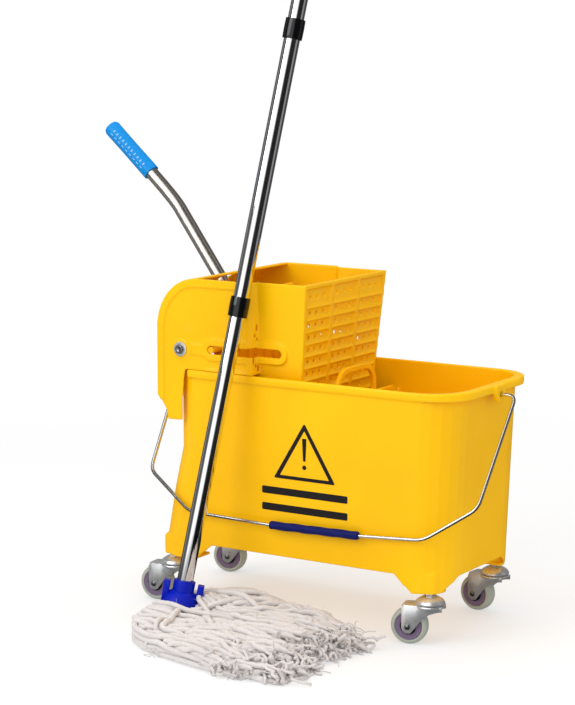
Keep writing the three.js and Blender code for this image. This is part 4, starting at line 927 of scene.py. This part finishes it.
def skirt_mesh():
    """A bell with a scalloped edge, from its outer rings down and its inner rings back up."""
    sides = 96
    shell = []
    for sign, inset in ((1, 0), (-1, SKIRT_WALL)):
        for height, radius, share in SKIRT_RINGS[::sign]:
            for i in range(sides):
                angle = 2 * math.pi * i / sides
                drop = share * SCALLOP_DEPTH * math.cos(SCALLOPS * angle)
                reach = radius - inset
                shell.append((reach * math.cos(angle), reach * math.sin(angle), height + drop - inset * 0.3))
    count = 2 * len(SKIRT_RINGS)
    faces = []
    for ring in range(count):
        this, after = ring * sides, (ring + 1) % count * sides
        for i in range(sides):
            j = (i + 1) % sides
            faces.append((this + i, this + j, after + j, after + i))
    return edited(to_mesh(shell, faces))


def add_socket():
    """A collar round the handle, a shoulder with two upright wings, and a scalloped skirt over the yarn."""
    collar = turned([(11.3, -22), (14.8, -22), (14.6, 0), (11.3, 0)], 64, 0.8)
    facing = POLE.to_3x3().inverted() @ Vector((math.cos(CAMERA_AZIMUTH), math.sin(CAMERA_AZIMUTH), 0))
    heading = math.atan2(facing.y, facing.x)
    outline = soft_outline([(18.6, -26), (27, -34), (27.6, -3), (18.6, -3)], 1.5, 3)
    stand = Matrix(((1, 0, 0, 0), (0, 0, 1, 0), (0, 1, 0, 0), (0, 0, 0, 1)))
    wings = [
        placed(slab(outline, -8, 8, 1.0), Matrix.Rotation(heading + side, 4, "Z") @ stand)
        for side in (0, math.pi)
    ]
    socket = joined(collar, skirt_mesh(), *wings)
    add_piece("socket", socket, "mop", "socket_blue", SOCKET_BLUE, "mop_socket", matrix=POLE)


# ---------------------------------------------------------------- mop yarn
STRANDS = 165
STRAND_RADIUS = 3.8
BEADS = 58
BEAD_STEP = 6.0
TWIST_PITCH = 26
PLIES = 3
PLY_RADIUS = 2.0
SKIRT_DEPTH = 53
LEAN = np.array(POLE_AXIS)
SKIRT = np.array(DRAWING.inverted() @ (SOCKET_MOUTH - POLE_AXIS * SKIRT_DEPTH * MM))
# the socket's radius by height over the skirt's end
SOCKET_HEIGHTS, SOCKET_RADII = (-2, 0, 16, 28, 36, 60), (0, 33, 29, 25, 19, 16)
# the heap from above: along the bucket, the middle of its depth, and half its depth
HEAP_X = (-140, -110, -66, 10, 70, 120, 150, 215)
HEAP_MIDDLE = (-222, -228, -230, -236, -240, -244, -246, -236)
HEAP_HALF = (14, 40, 78, 102, 104, 98, 86, 60)
# the footprint's front and back edges, along the bucket and across it
EDGE_X = (-176, -160, -130, -100, -58, -21, 51, 104, 160, 230)
EDGE_FRONT = (-225, -258, -298, -320, -336, -345, -361, -367, -352, -330)
EDGE_BACK = (-205, -172, -150, -140, -122, -114, -112, -122, -150, -180)
LEFT_SLOPE = 0.5  # how far the heap's left side moves in for each unit of height
LOOPED_SHARE = 0.27  # strands that leave the skirt to the left and turn back
KNOT_STEP, KNOT_END = 52, 330
# how the strands settle: fall at each step, speed kept, share of an overlap undone, stiffness
GRAVITY, MOMENTUM, YIELD, BENDING = 0.5, 0.8, 0.42, 0.1
REFRESH = 4  # steps between searches for strands that touch
# strands matted together under the ones that show: x, y, reach along x and y, height
CORE = ((-52, -165, 62, 46, 34), (28, -180, 72, 58, 22), (60, -270, 90, 60, 10))
# where the strands are cut off: across the heap, along the bucket
CUT_Y, CUT_X = (-370, -347, -294, -250, -225, -184, -150, -130), (100, 154, 154, 130, 154, 180, 146, 92)


def smooth_line(knots, step, count):
    """Points at equal steps along a smooth line through the knots."""
    ends = np.vstack([2 * knots[0] - knots[1], knots, 2 * knots[-1] - knots[-2]])
    share = np.linspace(0, 1, 12, endpoint=False)[:, None]
    runs = []
    for before, start, stop, after in zip(ends, ends[1:], ends[2:], ends[3:]):
        slope = stop - before
        bend = 2 * before - 5 * start + 4 * stop - after
        turn = 3 * start - before - 3 * stop + after
        runs.append(start + 0.5 * (slope * share + bend * share**2 + turn * share**3))
    line = np.vstack(runs)
    travelled = np.concatenate([[0], np.cumsum(np.linalg.norm(np.diff(line, axis=0), axis=1))])
    wanted = np.arange(count) * step
    return np.stack([np.interp(wanted, travelled, line[:, axis]) for axis in range(3)], axis=1)


def heap_lane(x, lane):
    """The place across the heap of a lane from -1 to 1."""
    return np.interp(x, HEAP_X, HEAP_MIDDLE) + lane * np.interp(x, HEAP_X, HEAP_HALF)


def lay_strand(rng, share):
    """A strand from under the skirt to the right; the ones laid later, with a larger share, lie higher."""
    lane = rng.uniform(-1, 1)
    side = 1 if lane > 0 else -1
    looped = rng.uniform() < LOOPED_SHARE
    if looped:
        heading = math.radians(180 - side * rng.uniform(0, 75))
    elif abs(lane) < 0.25:
        heading = math.radians(rng.uniform(-50, 50))
    else:
        heading = math.radians(side * rng.uniform(25, 100))
    out = np.array([math.cos(heading), math.sin(heading)])
    base, lift = 5 + 14 * share, 10 + 95 * share
    knots = [(*(SKIRT[:2] + out * rng.uniform(6, 16)), base), (*(SKIRT[:2] + out * 34), base + 4 + lift / 4)]
    if looped:
        knots.append((*(SKIRT[:2] + out * rng.uniform(28, 37)), lift))
        turn = rng.uniform(-108, -84)
        knots.append((turn, heap_lane(turn, lane), lift))
    x = max(knots[-1][0] + 45, -78)
    while x < KNOT_END:
        across = heap_lane(x, lane)
        knots.append((x + rng.normal(0, 6), across + rng.normal(0, 9), lift))
        x += KNOT_STEP
    return smooth_line(np.array(knots), BEAD_STEP, BEADS)


def near_pairs(place, reach):
    """Pairs of beads closer than reach, found cell by cell."""
    cell = np.floor(place / reach).astype(np.int64)
    cell -= cell.min(0) - 1
    size = cell.max(0) + 2
    key = (cell[:, 0] * size[1] + cell[:, 1]) * size[2] + cell[:, 2]
    order = np.argsort(key, kind="stable")
    ranked = key[order]
    around = [(x, y, z) for x in (-1, 0, 1) for y in (-1, 0, 1) for z in (-1, 0, 1)]
    firsts, seconds = [], []
    for x, y, z in around:
        step = (x * size[1] + y) * size[2] + z
        if step < 0:
            continue
        low = np.searchsorted(ranked, key + step, "left")
        counts = np.searchsorted(ranked, key + step, "right") - low
        first = np.repeat(np.arange(len(key)), counts)
        rank = np.arange(counts.sum()) - np.repeat(np.cumsum(counts) - counts, counts)
        second = order[np.repeat(low, counts) + rank]
        keep = first < second if step == 0 else first != second
        firsts.append(first[keep])
        seconds.append(second[keep])
    first, second = np.concatenate(firsts), np.concatenate(seconds)
    near = ((place[first] - place[second]) ** 2).sum(1) < reach * reach
    return first[near], second[near]


def push_apart(flat, first, second):
    """Moves beads that overlap away from each other."""
    gap = flat[first] - flat[second]
    length = np.linalg.norm(gap, axis=1)
    hit = length < 2 * STRAND_RADIUS
    depth = (2 * STRAND_RADIUS - length[hit]) / np.maximum(length[hit], 1e-3)
    push = gap[hit] * (YIELD * depth)[:, None]
    a, b = first[hit], second[hit]
    weight = np.bincount(a, minlength=len(flat)) + np.bincount(b, minlength=len(flat))
    for axis in range(3):
        total = np.bincount(a, push[:, axis], len(flat)) - np.bincount(b, push[:, axis], len(flat))
        flat[:, axis] += total / np.sqrt(np.maximum(weight, 1))


def keep_lengths(place):
    """Brings neighbouring beads back to their distance, odd pairs and then even ones."""
    for phase in (0, 1):
        start, end = place[:, phase:-1:2], place[:, phase + 1::2]
        both = min(start.shape[1], end.shape[1])
        start, end = start[:, :both], end[:, :both]
        span = end - start
        length = np.linalg.norm(span, axis=2, keepdims=True)
        fix = span * ((length - BEAD_STEP) / np.maximum(length, 1e-3)) * 0.5
        start += fix
        end -= fix


def floor_under(place):
    """The height at which a strand rests: on the floor, or on the matted core."""
    x, y = place[..., 0], place[..., 1]
    mounds = [high * np.exp(-(((x - mx) / rx) ** 2) - ((y - my) / ry) ** 2) for mx, my, rx, ry, high in CORE]
    return STRAND_RADIUS + np.max(mounds, axis=0)


def keep_inside(place):
    """Keeps the strands within the heap's footprint, which shrinks from the left as the heap rises."""
    x = np.maximum(place[..., 0], EDGE_X[0] + STRAND_RADIUS + LEFT_SLOPE * place[..., 2])
    front, back = np.interp(x, EDGE_X, EDGE_FRONT), np.interp(x, EDGE_X, EDGE_BACK)
    place[..., 0] = x
    place[..., 1] = np.clip(place[..., 1], front + STRAND_RADIUS, back - STRAND_RADIUS)


def keep_off_socket(place):
    away = place - SKIRT
    height = away @ LEAN
    radial = away - height[..., None] * LEAN
    distance = np.linalg.norm(radial, axis=2)
    room = np.interp(height, SOCKET_HEIGHTS, SOCKET_RADII) + STRAND_RADIUS
    inside = (distance < room) & (height > -2)
    place += radial * np.where(inside, (room - distance) / np.maximum(distance, 1e-3), 0)[..., None]


def settled(place, rounds):
    """Lets the strands drop onto the floor, the socket and each other."""
    pinned = place[:, :2].copy()
    previous = place.copy()
    strand = np.repeat(np.arange(len(place)), BEADS)
    rank = np.tile(np.arange(BEADS), len(place))
    for step in range(rounds):
        move = (place - previous) * MOMENTUM
        previous = place.copy()
        place = place + move
        place[..., 2] -= GRAVITY
        if step % REFRESH == 0:
            first, second = near_pairs(place.reshape(-1, 3), 2 * STRAND_RADIUS + 3.5)
            apart = (strand[first] != strand[second]) | (np.abs(rank[first] - rank[second]) > 3)
            first, second = first[apart], second[apart]
        for _ in range(3):
            flat = place.reshape(-1, 3)
            push_apart(flat, first, second)
            place = flat.reshape(place.shape)
            place[:, 1:-1] += ((place[:, 2:] + place[:, :-2]) / 2 - place[:, 1:-1]) * BENDING
            keep_lengths(place)
            keep_off_socket(place)
            keep_inside(place)
            place[..., 2] = np.maximum(place[..., 2], floor_under(place))
            place[:, :2] = pinned
        resting = place[..., 2] < floor_under(place) + 0.4
        previous[resting] = previous[resting] * 0.3 + place[resting] * 0.7
    return place


def cut_off(place, rng, points):
    """Cuts each strand off near the heap's end, and spaces its points evenly."""
    lines = []
    for line in place:
        edge = np.interp(line[:, 1], CUT_Y, CUT_X) - rng.exponential(24)
        past = np.nonzero(line[:, 0] > edge)[0]
        kept = line[: max(past[0], 14)] if len(past) else line
        step = (len(kept) - 1) * BEAD_STEP / points
        lines.append(smooth_line(kept, step, points))
    return np.array(lines)


def ply_section(lines, sides, radius):
    """The radius round each strand: plies that wind along it, thinning at its cut end."""
    travelled = np.cumsum(np.linalg.norm(np.diff(lines, axis=1, prepend=lines[:, :1]), axis=2), axis=1)
    angle = np.arange(sides) * 2 * math.pi / sides
    wind = PLIES * (angle - 2 * math.pi * travelled[..., None] / TWIST_PITCH)
    end = np.clip((travelled[:, -1:] - travelled) / 14, 0.55, 1)[..., None]
    return radius[:, None, None] * end * (0.93 + 0.11 * np.abs(np.cos(wind / 2)))


def curls(lines, rng, each, radius, length, count=18):
    """Curly plies or fibres that spring from the last stretch of every strand."""
    made = []
    share = np.linspace(0, 1, count)[:, None]
    for line in lines:
        ahead = line[-1] - line[-6]
        ahead /= np.linalg.norm(ahead)
        for _ in range(each):
            start = line[-1 - rng.integers(0, 14)] + rng.normal(0, 1.4, 3)
            heading = ahead + rng.normal(0, 0.5, 3)
            first, second = rng.normal(0, 1, (2, 3))
            wind = 2 * math.pi * rng.uniform(0.7, 1.9) * share + rng.uniform(0, 6)
            coil = (first * np.cos(wind) + second * np.sin(wind)) * rng.uniform(2.0, 4.2)
            path = start + heading * rng.uniform(*length) * share + (coil - coil[0]) * np.sqrt(share)
            path[:, 2] -= share[:, 0] * 0.5 * start[2]
            path[:, 2] = np.maximum(path[:, 2], radius + 0.2)
            made.append(path)
    return np.array(made)


def fuzz(lines, rng, many):
    """Single fibres that stand off the strands."""
    strand = rng.integers(0, len(lines), many)
    point = rng.integers(3, lines.shape[1] - 1, many)
    root = lines[strand, point]
    out = rng.normal(0, 1, (many, 3))
    out[:, 2] = np.abs(out[:, 2])
    out /= np.linalg.norm(out, axis=1, keepdims=True)
    bend = rng.normal(0, 1.6, (many, 3))
    share = np.linspace(0, 1, 5)[:, None]
    tip = out * rng.uniform(5, 9, (many, 1))
    paths = root[:, None] + tip[:, None] * share + bend[:, None] * share**2
    paths[..., 2] = np.maximum(paths[..., 2], 0.3)
    return paths


def add_fibres(name, lines, radius, sides, *nodes):
    """Tubes of cotton along lines, as one piece of the mop."""
    mesh = map_fibres(tubes(lines, radius, sides), lines, sides)
    add_piece(name, mesh, "mop", "cotton", COTTON, *nodes, matrix=DRAWING, smooth=180)


def add_yarn():
    rng = np.random.default_rng(11)
    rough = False
    laid = np.array([lay_strand(rng, i / STRANDS) for i in range(STRANDS)])
    place = settled(laid, 30 if rough else 100)
    lines = cut_off(place, rng, 60 if rough else 125)
    sides = 6 if rough else 12
    radius = STRAND_RADIUS * rng.uniform(0.88, 1.08, len(lines))
    add_fibres("yarn", lines, ply_section(lines, sides, radius), sides, "mop_yarn")
    plies = curls(lines, rng, 4, PLY_RADIUS, (4, 20))
    add_fibres("yarn_plies", plies, PLY_RADIUS, 7)
    if rough:
        return
    add_fibres("yarn_fibres", curls(lines, rng, 5, 0.6, (4, 22), 22), 0.6, 4)
    add_fibres("yarn_fuzz", fuzz(lines, rng, 5000), 0.16, 3)


# ---------------------------------------------------------------- the object
add_camera()
add_floor()
add_studio()
add_mouldings()
add_label()
add_pivots()
add_guide_rod()
add_lever()
add_bail()
add_casters()
add_handle()
add_socket()
add_yarn()
